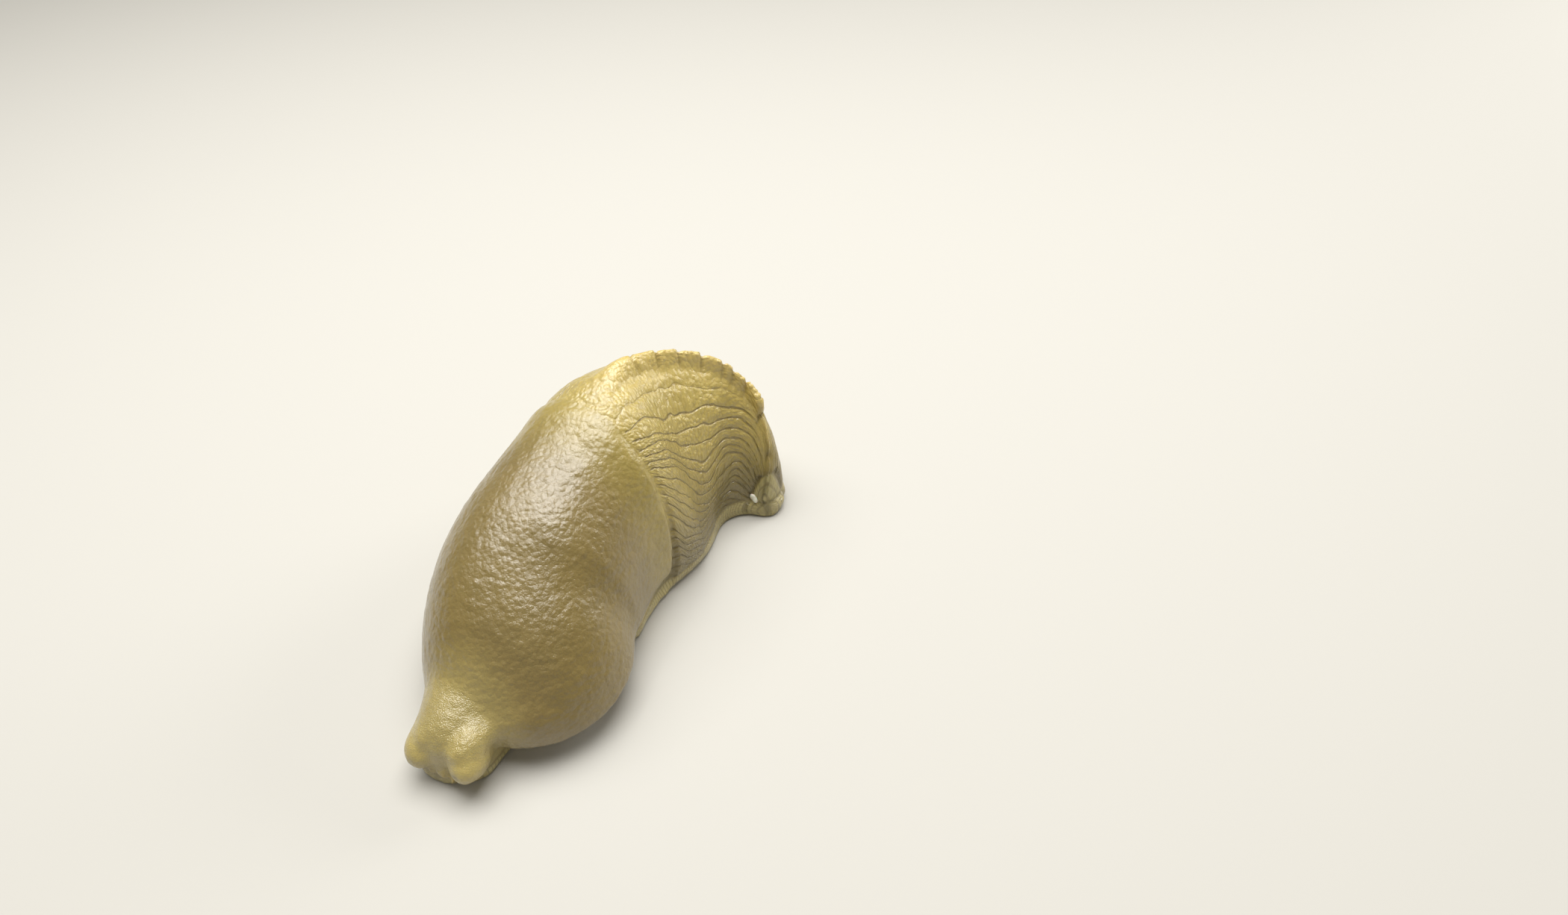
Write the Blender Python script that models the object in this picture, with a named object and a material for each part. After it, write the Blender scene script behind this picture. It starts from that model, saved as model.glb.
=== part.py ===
"""Contracted banana slug, life size, resting on its sole.

Metres, +Z up. The head points toward -Y and the tail curls toward +X. The origin is on the floor under
the middle of the slug. Sizes below are in millimetres and become metres as the meshes are made.

The slug is lofted along two centrelines. The body line runs from the front of the mantle hood to the tail
tip. The neck line leaves it under the mantle and carries the neck and the head, turned to the slug's right.
"""

import math

import bmesh
import bpy
import numpy as np
from mathutils import Matrix, Vector

MM = 0.001
GAP = 0.35

# Body line: distance from the hood front, heading away from +Y toward +X, half width and height
BODY_AT = (0.0, 12.0, 24.0, 38.0, 50.0, 60.0, 70.0, 78.0, 84.4)
BODY_HEADING = (-3.5, -8.9, 12.9, 28.0, 35.5, 60.5, 87.5, 125.5, 170.0)
BODY_HALF_WIDTH = (15.6, 17.6, 18.5, 17.8, 19.0, 18.5, 14.6, 7.9, 4.8)
BODY_HEIGHT = (15.2, 23.5, 29.7, 33.6, 37.5, 35.2, 30.9, 21.6, 7.6)
BODY_END = BODY_AT[-1]
ANCHOR_AT = 24.0
ANCHOR = (-11.66, -7.21)
SECTION_AT = (42.0, 62.0, 80.0)
SECTION_POWER = (2.3, 1.45, 1.54)
LEAN_AT = (46.0, 56.0, 66.0, 75.0, 80.5, 84.4)
LEAN = (0.0, -1.0, -2.4, -3.5, -2.0, 1.2)
LEAN_POWER = 1.5
HOOD_ROUND = 14.0
HOOD_BLUNT = 2.2
HOOD_FRONT_HEIGHT = 0.42
HOOD_FRONT_AT = -3.5
TAIL_ROUND = 7.0
TAIL_END_HEIGHT = 0.6

# Neck line: from the head's front to the place under the mantle where it joins the body line
HEAD_FRONT = (-22.67, -37.39)
HEAD_HEADING = 9.0
FACE_HEADING = 26.0
NECK_ROOT_AT = 27.0
NECK_AT = (0.0, 10.0, 19.0)
NECK_HALF_WIDTH = (6.3, 8.7, 13.0)
NECK_HEIGHT = (10.4, 14.6, 18.6)
HEAD_ROUND = 4.8
HEAD_BLUNT = 2.8
HEAD_FRONT_HEIGHT = 0.6
HEAD_END = 10.5
NECK_SHOULDER = 0.3

# Foot and the furrow above it
FOOT_FRONT_HEIGHT = 1.9
FOOT_HEIGHT = 3.2
FOOT_TAIL_HEIGHT = 4.0
FOOT_TAIL_RISE = (66.0, 16.0)
FOOT_RISES_OVER = 20.0
FOOT_AHEAD = 0.3
FOOT_EDGE_SHARE = 0.6
FOOT_EDGE_POINTS = 7
FOOT_HALF_WIDTH = (6.0, 7.8, 11.4)
SKIRT_PROUD = 0.4
SKIRT_PROUD_TAIL = 0.6
FLANK_TUCK = 0.08
TUCK_BELOW = 8.0

# Mantle: a shield whose edge stands clear of the flank and the back
MANTLE_PROUD = 0.4
MANTLE_THICK = 2.2
MANTLE_CLEAR = 0.4
MANTLE_EDGE_FRONT = 4.8
MANTLE_EDGE = 6.0
MANTLE_EDGE_RISES_OVER = 20.0
MANTLE_EDGE_SHARE = 0.35
MANTLE_REAR_SIDE = 41.0
MANTLE_REAR_TOP = 44.8
MANTLE_REAR_POWER = 5
MANTLE_FURROW = 0.9
MANTLE_SIDE_RIM = ((0.4, 0.12), (0.05, 0.5), (0.0, 1.3))
MANTLE_REAR_RIM = ((1.2, 0.0), (0.35, 0.2), (0.0, 0.7), (0.0, 3.2))
BREATHING_PORE = dict(at=28.2, angle=-66.0, proud=0.6, radii=(1.3, 1.7, 1.1))

# Keel: the ridge along the back, bunched into scallops that swell toward the tail and then drop
KEEL_HEIGHT = 2.4
KEEL_ANGLE = 0.17
KEEL_RANGE = (48.3, 55.5, 76.0, 83.0)
KEEL_FOLDS = (52.0, 57.0, 61.5, 65.4, 69.1, 72.3, 73.8, 75.6, 78.3, 81.2, 84.5)
KEEL_FOLD_DEPTH = (0.1, 0.12, 0.15, 0.2, 0.42, 0.3, 0.3, 0.4, 0.7, 0.25)
KEEL_FOLD_PEAK = (1.0, 1.0, 1.0, 1.0, 1.1, 1.2, 1.25, 1.7, 1.2, 1.0)
KEEL_FOLD_SWELL = 0.55

# Retracted tentacles: distance from the head's front, sideways, height and radius of the round tip
UPPER_TENTACLE = dict(front=2.2, root=7.2, side=3.9, root_side=3.4, height=6.2, radius=3.4)
LOWER_TENTACLE = dict(front=-0.4, root=3.0, side=2.0, root_side=2.0, height=2.85, radius=0.6)
TENTACLE_TAPER = 0.7
EYE_DIMPLE = 0.8
EYE_ABOVE = 0.3

# Mouth: a slit between two lips, just above the front of the foot
LIP = dict(front=0.0, side=0.5, height=3.3, radii=(0.47, 0.8, 1.0))
MOUTH_SLIT = (0.14, 0.9, 0.9)

# Slime pit above the tail's end: distance before it, height and radii
CAUDAL_PIT = dict(before=0.4, height=5.8, radii=(0.8, 2.0, 1.9))

# Lengths of the body between the parting gaps, and how finely they are lofted
TRUNK_FRONT = (NECK_ROOT_AT, 50.0)
TRUNK_REAR = (50.0, 66.0)
TAIL_ROOT = (66.0, 77.0)
TAIL_TIP = (77.0, BODY_END)
FOOT_MIDDLE = (NECK_ROOT_AT, 56.0)
FOOT_REAR = (56.0, 74.0)
FOOT_TAIL = (74.0, BODY_END)

ROW_STEP = 1.6
ROW_STEP_TAIL = 1.4
FOLD_DROP = 0.3
FIRST_ROW = 0.1
CROWDED = 1.6
CROWDED_HOOD = 1.8
MANTLE_FRONT_ROWS = 16.0
OVER = 21
OVER_CROWDED = 1.3
BELOW = 3
ACROSS = 4


def through(stations, values, at):
    """A smooth curve through the stations that never swings past them."""
    x = np.asarray(stations, float)
    y = np.asarray(values, float)
    at = np.clip(np.asarray(at, float), x[0], x[-1])
    run = np.diff(x)
    slope = np.diff(y) / run
    bend = np.zeros(len(x))
    for k in range(1, len(x) - 1):
        before, after = slope[k - 1], slope[k]
        if before * after > 0:
            near, far = 2 * run[k] + run[k - 1], run[k] + 2 * run[k - 1]
            bend[k] = (near + far) / (near / before + far / after)
    bend[0], bend[-1] = slope[0], slope[-1]
    k = np.clip(np.searchsorted(x, at, side="right") - 1, 0, len(run) - 1)
    t = (at - x[k]) / run[k]
    rise = y[k] + (y[k + 1] - y[k]) * (3 * t**2 - 2 * t**3)
    return rise + run[k] * ((t**3 - 2 * t**2 + t) * bend[k] + (t**3 - t**2) * bend[k + 1])


def ease(t):
    """0 to 1 with flat ends."""
    t = np.clip(t, 0.0, 1.0)
    return t * t * (3 - 2 * t)


def round_end(distance, length, power=2.0):
    """How far a rounded end has opened at this distance from its tip."""
    return np.sqrt(1 - np.clip(1 - distance / length, 0.0, 1.0) ** power)


def body_line():
    """The body line as distance, x, y and heading in radians."""
    at = np.linspace(HOOD_FRONT_AT, BODY_END, 357)
    heading = np.radians(through(BODY_AT, BODY_HEADING, at))
    step = at[1] - at[0]
    line = []
    for part, anchor in ((np.sin(heading), ANCHOR[0]), (np.cos(heading), ANCHOR[1])):
        run = np.concatenate([[0.0], np.cumsum((part[1:] + part[:-1]) / 2 * step)])
        line.append(run - np.interp(ANCHOR_AT, at, run) + anchor)
    return at, line[0], line[1], heading


def neck_line(body):
    """The neck line, a Bezier curve from the head's front to the body line."""
    root = np.array([np.interp(NECK_ROOT_AT, body[0], body[1]), np.interp(NECK_ROOT_AT, body[0], body[2])])
    root_heading = np.interp(NECK_ROOT_AT, body[0], body[3])
    head = np.array(HEAD_FRONT)
    head_heading = math.radians(HEAD_HEADING)
    reach = np.linalg.norm(root - head) / 3
    near = head + reach * np.array([math.sin(head_heading), math.cos(head_heading)])
    far = root - reach * np.array([math.sin(root_heading), math.cos(root_heading)])
    t = np.linspace(0.0, 1.0, 161)[:, None]
    points = (1 - t) ** 3 * head + 3 * (1 - t) ** 2 * t * near + 3 * (1 - t) * t**2 * far + t**3 * root
    along = np.gradient(points, axis=0)
    at = np.concatenate([[0.0], np.cumsum(np.linalg.norm(np.diff(points, axis=0), axis=1))])
    return at, points[:, 0], points[:, 1], np.arctan2(along[:, 0], along[:, 1])


BODY = body_line()
NECK = neck_line(BODY)
NECK_END = NECK[0][-1]


def place(line, at, side, height):
    """Points at a distance along a line, sideways to the slug's left, and above the floor."""
    at = np.asarray(at, float)
    inside = np.clip(at, line[0][0], line[0][-1])
    x, y, heading = (np.interp(inside, line[0], part) for part in line[1:])
    x = x + (at - inside) * np.sin(heading) + side * np.cos(heading)
    y = y + (at - inside) * np.cos(heading) - side * np.sin(heading)
    return np.stack(np.broadcast_arrays(x, y, height), axis=-1)


def face(front, side, height):
    """A point at the front of the head, which faces a little further round than the neck."""
    ahead, across = math.sin(math.radians(FACE_HEADING)), math.cos(math.radians(FACE_HEADING))
    x = HEAD_FRONT[0] + front * ahead + side * across
    return np.array((x, HEAD_FRONT[1] + front * across - side * ahead, height))


def body_size(at):
    """Half width and height of the body's outline."""
    front = round_end(at - HOOD_FRONT_AT, HOOD_ROUND, HOOD_BLUNT)
    rear = round_end(BODY_END - at, TAIL_ROUND)
    half = through(BODY_AT, BODY_HALF_WIDTH, at) * front * rear
    high = through(BODY_AT, BODY_HEIGHT, at) * (HOOD_FRONT_HEIGHT + (1 - HOOD_FRONT_HEIGHT) * front)
    return half, high * (TAIL_END_HEIGHT + (1 - TAIL_END_HEIGHT) * rear)


def neck_size(at):
    """Half width and height of the neck and head, which match the trunk's core at the root."""
    half, high = body_size(NECK_ROOT_AT)
    core = MANTLE_THICK - MANTLE_PROUD + MANTLE_CLEAR
    stations = NECK_AT + (NECK_END,)
    front = round_end(at, HEAD_ROUND, HEAD_BLUNT)
    half = through(stations, NECK_HALF_WIDTH + (half - core,), at) * front
    high = through(stations, NECK_HEIGHT + (high - core,), at)
    return half, high * (HEAD_FRONT_HEIGHT + (1 - HEAD_FRONT_HEIGHT) * front)


def body_power(at):
    return np.interp(at, SECTION_AT, SECTION_POWER)


def neck_power(at):
    return np.full(np.shape(at), SECTION_POWER[0])


def lean(at, up):
    """How far the back leans over sideways, most at its crest."""
    return through(LEAN_AT, LEAN, at) * up**LEAN_POWER


def fold(at):
    """How much of the keel stands: each scallop swells toward the tail and drops at its end."""
    edges = np.array(KEEL_FOLDS)
    k = np.clip(np.searchsorted(edges, at) - 1, 0, len(edges) - 2)
    run = np.clip((at - edges[k]) / (edges[k + 1] - edges[k]), 0.0, 1.0)
    depth, peak = np.array(KEEL_FOLD_DEPTH)[k], np.array(KEEL_FOLD_PEAK)[k]
    return peak * (1 - depth * (1 - run**KEEL_FOLD_SWELL))


def keel(at, angle):
    """Height of the folded ridge along the back."""
    stand = np.interp(at, KEEL_RANGE, (0.0, 1.0, 1.0, 0.0))
    return KEEL_HEIGHT * ease(stand) * fold(at) * np.exp(-((angle / KEEL_ANGLE) ** 2))


def foot_height(line, at):
    """Where the flesh ends and the foot begins."""
    if line is NECK:
        return FOOT_FRONT_HEIGHT + (FOOT_HEIGHT - FOOT_FRONT_HEIGHT) * ease(at / FOOT_RISES_OVER)
    rise = ease((at - FOOT_TAIL_RISE[0]) / FOOT_TAIL_RISE[1])
    return FOOT_HEIGHT + (FOOT_TAIL_HEIGHT - FOOT_HEIGHT) * rise


def edge_height(at, base, high):
    """Height of the mantle's free edge, and of the shoulder that continues it behind."""
    rise = ease((at - HOOD_FRONT_AT) / MANTLE_EDGE_RISES_OVER)
    edge = MANTLE_EDGE_FRONT + (MANTLE_EDGE - MANTLE_EDGE_FRONT) * rise
    return np.minimum(edge, base + MANTLE_EDGE_SHARE * (high - base))


def rear_edge(across):
    """How far back the mantle reaches, from its lower edges (-1, 1) over the top (0)."""
    reach = 1 - np.abs(across) ** MANTLE_REAR_POWER
    return MANTLE_REAR_SIDE + (MANTLE_REAR_TOP - MANTLE_REAR_SIDE) * reach


def angle_at(height, high, power):
    """The angle from the top at which a section comes down to a height."""
    return np.arccos(np.clip(height / high, 0.0, 1.0) ** (power / 2))


def section(angle, power):
    """Sideways and upward fractions of a rounded section, from its angle off the top."""
    side = np.sign(np.sin(angle)) * np.abs(np.sin(angle)) ** (2 / power)
    return side, np.abs(np.cos(angle)) ** (2 / power)


def spread(count):
    """Samples from -1 to 1, closer together at the middle, where the keel is."""
    t = np.linspace(-1.0, 1.0, count)
    return np.sign(t) * np.abs(t) ** OVER_CROWDED


def flesh_ring(line, at, inset, ridge=True, low=None):
    """One closed ring of flesh: over the back from right to left, then back under it.

    at and inset may be arrays over the ring's samples; low sets the height of its underside.
    """
    size, power_of = (body_size, body_power) if line is BODY else (neck_size, neck_power)
    across = np.concatenate([np.full(BELOW, -1.0), spread(OVER), np.full(BELOW, 1.0)])
    at = at(across) if callable(at) else np.full(len(across), float(at))
    half, high = size(at)
    power = power_of(at)
    base = foot_height(line, at) + GAP / 2
    edge = edge_height(at, base, high) if line is BODY else base + NECK_SHOULDER * (high - base)
    fall = np.concatenate([np.arange(BELOW, 0, -1) / BELOW, np.zeros(OVER), np.arange(1, BELOW + 1) / BELOW])
    floor = edge + (base - edge) * fall
    angle = angle_at(edge, high, power) * across
    angle = np.where(fall > 0, np.sign(across) * angle_at(floor, high, power), angle)
    inset = inset(at, across, fall) if callable(inset) else inset
    side, up = section(angle, power)
    height = (high - inset) * up
    if ridge and line is BODY:
        height = height + keel(at, angle)
    height = np.maximum(height, base)
    height = np.where(fall == 1.0, base, height)
    if low is not None:
        height = np.where(fall == 1.0, low, height)
    tuck = 1 - FLANK_TUCK * np.clip(1 - height / TUCK_BELOW, 0.0, 1.0) ** 2
    side = (half - inset) * side * tuck
    if line is BODY:
        side = side + lean(at, up)
    under = np.linspace(1.0, -1.0, ACROSS + 2)[1:-1]
    ring = place(line, at, side, height)
    first, last = ring[0], ring[-1]
    middle = (first + last) / 2
    return np.concatenate([ring, middle + (last - middle) * under[:, None]])


def foot_ring(line, at):
    """One closed ring of the foot: a flat sole, a rounded skirt edge and a flat top."""
    if line is BODY:
        rise = ease((at - FOOT_TAIL_RISE[0]) / FOOT_TAIL_RISE[1])
        proud = SKIRT_PROUD + (SKIRT_PROUD_TAIL - SKIRT_PROUD) * rise
        half = body_size(at)[0] * (1 - FLANK_TUCK) + proud
    else:
        root = body_size(NECK_ROOT_AT)[0] * (1 - FLANK_TUCK) + SKIRT_PROUD
        half = through(NECK_AT + (NECK_END,), FOOT_HALF_WIDTH + (root,), at)
        half = half * round_end(at + FOOT_AHEAD, HEAD_ROUND, HEAD_BLUNT)
    top = float(foot_height(line, at)) - GAP / 2
    turn = np.radians(np.linspace(-90.0, 90.0, FOOT_EDGE_POINTS))
    edge = min(top / 2, half * FOOT_EDGE_SHARE)
    side = half - edge + edge * np.cos(turn)
    height = top / 2 + top / 2 * np.sin(turn)
    inner = (half - edge) * np.array([0.5, 0.0, -0.5])
    sides = np.concatenate([side, inner, -side[::-1], -inner])
    heights = np.concatenate([height, np.full(3, top), height[::-1], np.zeros(3)])
    return place(line, at, sides, heights)


def loft(name, rings):
    """A closed solid through rings that all have the same number of points."""
    mesh = bpy.data.meshes.new(name)
    bm = bmesh.new()
    rows = [[bm.verts.new(Vector(point) * MM) for point in ring] for ring in rings]
    for before, after in zip(rows, rows[1:]):
        for k in range(len(before)):
            nxt = (k + 1) % len(before)
            bm.faces.new((before[k], before[nxt], after[nxt], after[k]))
    bm.faces.new(rows[0])
    bm.faces.new(rows[-1][::-1])
    bmesh.ops.recalc_face_normals(bm, faces=bm.faces)
    bm.to_mesh(mesh)
    bm.free()
    node = bpy.data.objects.new(name, mesh)
    bpy.context.scene.collection.objects.link(node)
    return node


def helper(node):
    """Marks a cutter, which shows only as wires and isn't part of the slug."""
    node.hide_render = True
    node.display_type = "WIRE"
    return node


def cut(node, cutter, solver="EXACT"):
    change = node.modifiers.new(cutter.name, "BOOLEAN")
    change.operation = "DIFFERENCE"
    change.solver = solver
    change.object = cutter


def capsule(name, start, end, radius, rings=8, around=16):
    """A rounded stub from start to end, which narrows toward its start."""
    start, end = Vector(start), Vector(end)
    along = (end - start).normalized()
    turn = along.to_track_quat("Z", "X").to_matrix()
    length = (end - start).length
    profile = [(0.0, radius * TENTACLE_TAPER)]
    for k in range(rings):
        rise = math.radians(88.0 * k / (rings - 1))
        profile.append((length + radius * math.sin(rise), radius * math.cos(rise)))
    circles = []
    for up, wide in profile:
        ring = []
        for k in range(around):
            angle = 2 * math.pi * k / around
            ring.append(start + turn @ Vector((wide * math.cos(angle), wide * math.sin(angle), up)))
        circles.append(ring)
    return loft(name, circles)


def ellipsoid(name, centre, radii, turn):
    """An ellipsoid turned about Z by an angle in radians."""
    bm = bmesh.new()
    bmesh.ops.create_uvsphere(bm, u_segments=16, v_segments=10, radius=1.0)
    shape = Matrix.Diagonal((*radii, 1.0))
    matrix = Matrix.Translation(centre) @ Matrix.Rotation(turn, 4, "Z") @ shape
    bm.transform(Matrix.Scale(MM, 4) @ matrix)
    mesh = bpy.data.meshes.new(name)
    bm.to_mesh(mesh)
    bm.free()
    node = bpy.data.objects.new(name, mesh)
    bpy.context.scene.collection.objects.link(node)
    return node


def neck_rows(start, end, count):
    """Ring places along the neck, closer together where the head rounds off."""
    return start + (end - start) * np.linspace(0.0, 1.0, count) ** (CROWDED if start < 1.0 else 1.0)


def fuse(node, pieces):
    """Joins closed pieces to a node as one body, and removes them."""
    group = bpy.data.collections.new(node.name + "_pieces")
    for piece in pieces:
        bpy.context.scene.collection.objects.unlink(piece)
        group.objects.link(piece)
    bpy.context.scene.collection.children.link(group)
    union = node.modifiers.new("fuse", "BOOLEAN")
    union.operation = "UNION"
    union.operand_type = "COLLECTION"
    union.collection = group
    graph = bpy.context.evaluated_depsgraph_get()
    joined = bpy.data.meshes.new_from_object(node.evaluated_get(graph))
    node.modifiers.clear()
    node.data = joined
    for piece in pieces:
        bpy.data.objects.remove(piece, do_unlink=True)
    bpy.data.collections.remove(group)


def make_head():
    """The head, with two lips and the mouth line between them."""
    rows = neck_rows(FIRST_ROW, HEAD_END - GAP / 2, 11)
    node = loft("head", [flesh_ring(NECK, at, 0.0) for at in rows])
    heading = math.radians(FACE_HEADING)
    lips = []
    for mirror in (-1, 1):
        centre = face(LIP["front"], mirror * LIP["side"], LIP["height"])
        lips.append(ellipsoid("lip", centre, LIP["radii"], -heading))
    fuse(node, lips)
    centre = face(LIP["front"] - LIP["radii"][1], 0.0, LIP["height"])
    cut(node, helper(ellipsoid("mouth_cutter", centre, MOUTH_SLIT, -heading)))
    return node


def make_neck():
    rows = neck_rows(HEAD_END + GAP / 2, NECK_END - GAP / 2, 10)
    return loft("neck", [flesh_ring(NECK, at, 0.0) for at in rows])


def core_inset(at, across, fall):
    """How deep the trunk lies below the outline: sunk under the mantle, flush behind and below it."""
    sunk = MANTLE_THICK - MANTLE_PROUD + MANTLE_CLEAR
    behind = ease((at - rear_edge(across) - MANTLE_CLEAR) / MANTLE_FURROW)
    below = np.where(fall > 0.4, ease((at - NECK_ROOT_AT) / 6.0), 0.0)
    return sunk * (1 - np.maximum(behind, below))


def trunk_front_rows():
    """Ring places that follow the mantle's curved rear edge between two flat ends."""
    start, end = TRUNK_FRONT[0] + GAP / 2, TRUNK_FRONT[1] - GAP / 2
    rows = [start + (MANTLE_REAR_SIDE - 2.0 - start) * t for t in np.linspace(0.0, 1.0, 5)[:-1]]
    for beyond in (-1.2, MANTLE_CLEAR, MANTLE_CLEAR + 0.5 * MANTLE_FURROW, MANTLE_CLEAR + MANTLE_FURROW):
        rows.append(lambda across, beyond=beyond: rear_edge(across) + beyond)
    behind = MANTLE_CLEAR + MANTLE_FURROW
    rows.append(lambda across: (rear_edge(across) + behind + end) / 2)
    rows.append(end)
    return rows


def make_trunk_front():
    rings = [flesh_ring(BODY, at, core_inset) for at in trunk_front_rows()]
    return loft("trunk_front", rings)


def fold_rows(start, end, step):
    """Ring places along the back: even ones, and a close pair at each drop of the keel."""
    rows = list(np.linspace(start, end, 2 + int((end - start) / step)))
    edges = [edge for edge in KEEL_FOLDS if start + 1.0 < edge < end - 1.0]
    rows = [at for at in rows if all(abs(at - edge) > 2 * FOLD_DROP for edge in edges)]
    for edge in edges:
        rows += [edge, edge + FOLD_DROP]
    return sorted(rows)


def make_length(name, span, step):
    start, end = span[0] + GAP / 2, span[1] - GAP / 2
    return loft(name, [flesh_ring(BODY, at, 0.0) for at in fold_rows(start, end, step)])


def make_tail_tip():
    start, end = TAIL_TIP[0] + GAP / 2, TAIL_TIP[1] - FIRST_ROW
    middle = end - TAIL_ROUND
    rounded = end - TAIL_ROUND * np.linspace(1.0, 0.0, 8)[1:] ** CROWDED
    rows = fold_rows(start, middle, ROW_STEP_TAIL) + list(rounded)
    node = loft("tail_tip", [flesh_ring(BODY, at, 0.0) for at in rows])
    centre = place(BODY, BODY_END - CAUDAL_PIT["before"], 0.0, CAUDAL_PIT["height"])
    pit = helper(ellipsoid("caudal_pit_cutter", centre, CAUDAL_PIT["radii"], -BODY[3][-1]))
    cut(node, pit)
    return node


def mantle_ring(at, inset):
    """One ring of the uncut mantle: the outline made proud, with a rounded lower edge."""
    across = np.concatenate([[-1.0] * 3, spread(OVER) * 0.97, [1.0] * 3])
    step = np.array([3, 2, 1] + [0] * OVER + [1, 2, 3])
    at = at(across) if callable(at) else np.full(len(across), float(at))
    half, high = body_size(at)
    power = body_power(at)
    base = foot_height(BODY, at) + GAP / 2
    edge = edge_height(at, base, high)
    angle = angle_at(edge, high, power) * across
    lift, tuck = np.array(((0.0, 0.0),) + MANTLE_SIDE_RIM)[step].T
    side, up = section(angle, power)
    cut = inset - MANTLE_PROUD
    height = np.where(step > 0, edge + lift, (high - cut) * up)
    height = np.maximum(height, edge)
    ring = place(BODY, at, (half - cut - tuck) * side, height)
    first, last = ring[0], ring[-1]
    under = np.linspace(1.0, -1.0, ACROSS + 2)[1:-1]
    middle = (first + last) / 2
    return np.concatenate([ring, middle + (last - middle) * under[:, None]])


def make_mantle():
    """The shield: a dome with a curved rear edge, hollowed by the trunk's core and by the neck."""
    front = HOOD_FRONT_AT + MANTLE_FRONT_ROWS * np.linspace(0.06, 1.0, 10) ** CROWDED_HOOD
    middle = np.linspace(front[-1], MANTLE_REAR_SIDE - 2.5, 9)[1:]
    rings = [mantle_ring(at, 0.0) for at in np.concatenate([front, middle])]
    for before, inset in MANTLE_REAR_RIM:
        rings.append(mantle_ring(lambda across, before=before: rear_edge(across) - before, inset))
    node = loft("mantle", rings)
    hollow = MANTLE_THICK - MANTLE_PROUD
    rows = [NECK_ROOT_AT - GAP] + trunk_front_rows()[1:5]
    rows += [lambda across: rear_edge(across) + 2.0]
    core = [flesh_ring(BODY, at, hollow, ridge=False, low=-1.0) for at in rows]
    cut(node, helper(loft("mantle_core_cutter", core)), "MANIFOLD")
    cut(node, helper(grown_neck("mantle_neck_cutter", NECK_END + 0.5, -1.0)), "MANIFOLD")
    cut(node, helper(breathing_pore()), "MANIFOLD")
    return node


def breathing_pore():
    """The cutter for the breathing pore, in the mantle's right side."""
    pore = BREATHING_PORE
    half, high = body_size(pore["at"])
    side, up = section(math.radians(pore["angle"]), float(body_power(pore["at"])))
    centre = place(BODY, pore["at"], (half + pore["proud"]) * side, (high + pore["proud"]) * up)
    heading = float(np.interp(pore["at"], BODY[0], BODY[3]))
    return ellipsoid("breathing_pore_cutter", centre, pore["radii"], -heading)


def grown_neck(name, end, low):
    """The head and neck grown by the parting gap, to cut what lies against them."""
    rows = np.concatenate([neck_rows(FIRST_ROW, HEAD_END, 11), neck_rows(HEAD_END, NECK_END, 10)[1:], [end]])
    rings = [flesh_ring(NECK, at, -GAP, low=low) for at in rows]
    rings[0] = rings[0] + place(NECK, -GAP, 0.0, 0.0) - place(NECK, 0.0, 0.0, 0.0)
    return loft(name, rings)


def make_tentacle(name, size, mirror, cutter):
    """A drawn-in tentacle: a blunt stub that meets the head face to face."""
    root = place(NECK, size["root"], mirror * size["root_side"], size["height"])
    tip = face(size["front"], mirror * size["side"], size["height"])
    node = capsule(name, root, tip, size["radius"])
    cut(node, cutter)
    return node


def dimple(node, size, mirror):
    """The small pit where the eye is drawn in, at the tip of an upper tentacle."""
    tip = face(size["front"] - size["radius"], mirror * size["side"], size["height"] + EYE_ABOVE)
    pit = ellipsoid(node.name + "_eye_cutter", tip, (EYE_DIMPLE,) * 3, 0.0)
    cut(node, helper(pit))


def make_foot(name, line, start, end, count, rounded=0):
    rows = np.linspace(start, end, count)
    if rounded < 0:
        rows = start + (end - start) * np.linspace(0.0, 1.0, count) ** CROWDED
    if rounded > 0:
        rows = end - (end - start) * np.linspace(1.0, 0.0, count) ** CROWDED
    return loft(name, [foot_ring(line, at) for at in rows])


def skin(name, hexadecimal, roughness):
    """A moist skin: colour as an sRGB hex value."""
    channels = [int(hexadecimal[k : k + 2], 16) / 255 for k in (0, 2, 4)]
    linear = [c / 12.92 if c <= 0.04045 else ((c + 0.055) / 1.055) ** 2.4 for c in channels]
    material = bpy.data.materials.new(name)
    material.use_nodes = True
    shader = material.node_tree.nodes["Principled BSDF"]
    shader.inputs["Base Color"].default_value = (*linear, 1.0)
    shader.inputs["Roughness"].default_value = roughness
    shader.inputs["Metallic"].default_value = 0.0
    return material


def finish(node, material):
    node.data.materials.append(material)
    node.data.shade_smooth()
    node.data.set_sharp_from_angle(angle=math.radians(50.0))


def clear_scene():
    for item in list(bpy.data.objects):
        bpy.data.objects.remove(item, do_unlink=True)


def main():
    clear_scene()
    head_skin = skin("head_skin", "9d8f64", 0.45)
    mantle_skin = skin("mantle_skin", "907f4f", 0.35)
    back_skin = skin("back_skin", "aa9557", 0.4)
    foot_skin = skin("foot_skin", "b5a76c", 0.45)
    finish(make_head(), head_skin)
    finish(make_neck(), head_skin)
    finish(make_mantle(), mantle_skin)
    finish(make_trunk_front(), back_skin)
    finish(make_length("trunk_rear", TRUNK_REAR, ROW_STEP), back_skin)
    finish(make_length("tail_root", TAIL_ROOT, ROW_STEP_TAIL), back_skin)
    finish(make_tail_tip(), back_skin)
    cutter = helper(grown_neck("head_cutter", NECK_END, None))
    for side, mirror in (("left", 1), ("right", -1)):
        upper = make_tentacle("tentacle_upper_" + side, UPPER_TENTACLE, mirror, cutter)
        dimple(upper, UPPER_TENTACLE, mirror)
        finish(upper, head_skin)
        finish(make_tentacle("tentacle_lower_" + side, LOWER_TENTACLE, mirror, cutter), head_skin)
    finish(make_foot("foot_front", NECK, -0.2, NECK_END - GAP / 2, 14, rounded=-1), foot_skin)
    for name, span, count, rounded in (
        ("foot_middle", FOOT_MIDDLE, 9, 0),
        ("foot_rear", FOOT_REAR, 8, 0),
        ("foot_tail", FOOT_TAIL, 9, 1),
    ):
        end = span[1] - (0.05 if rounded else GAP / 2)
        finish(make_foot(name, BODY, span[0] + GAP / 2, end, count, rounded), foot_skin)


main()
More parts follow.
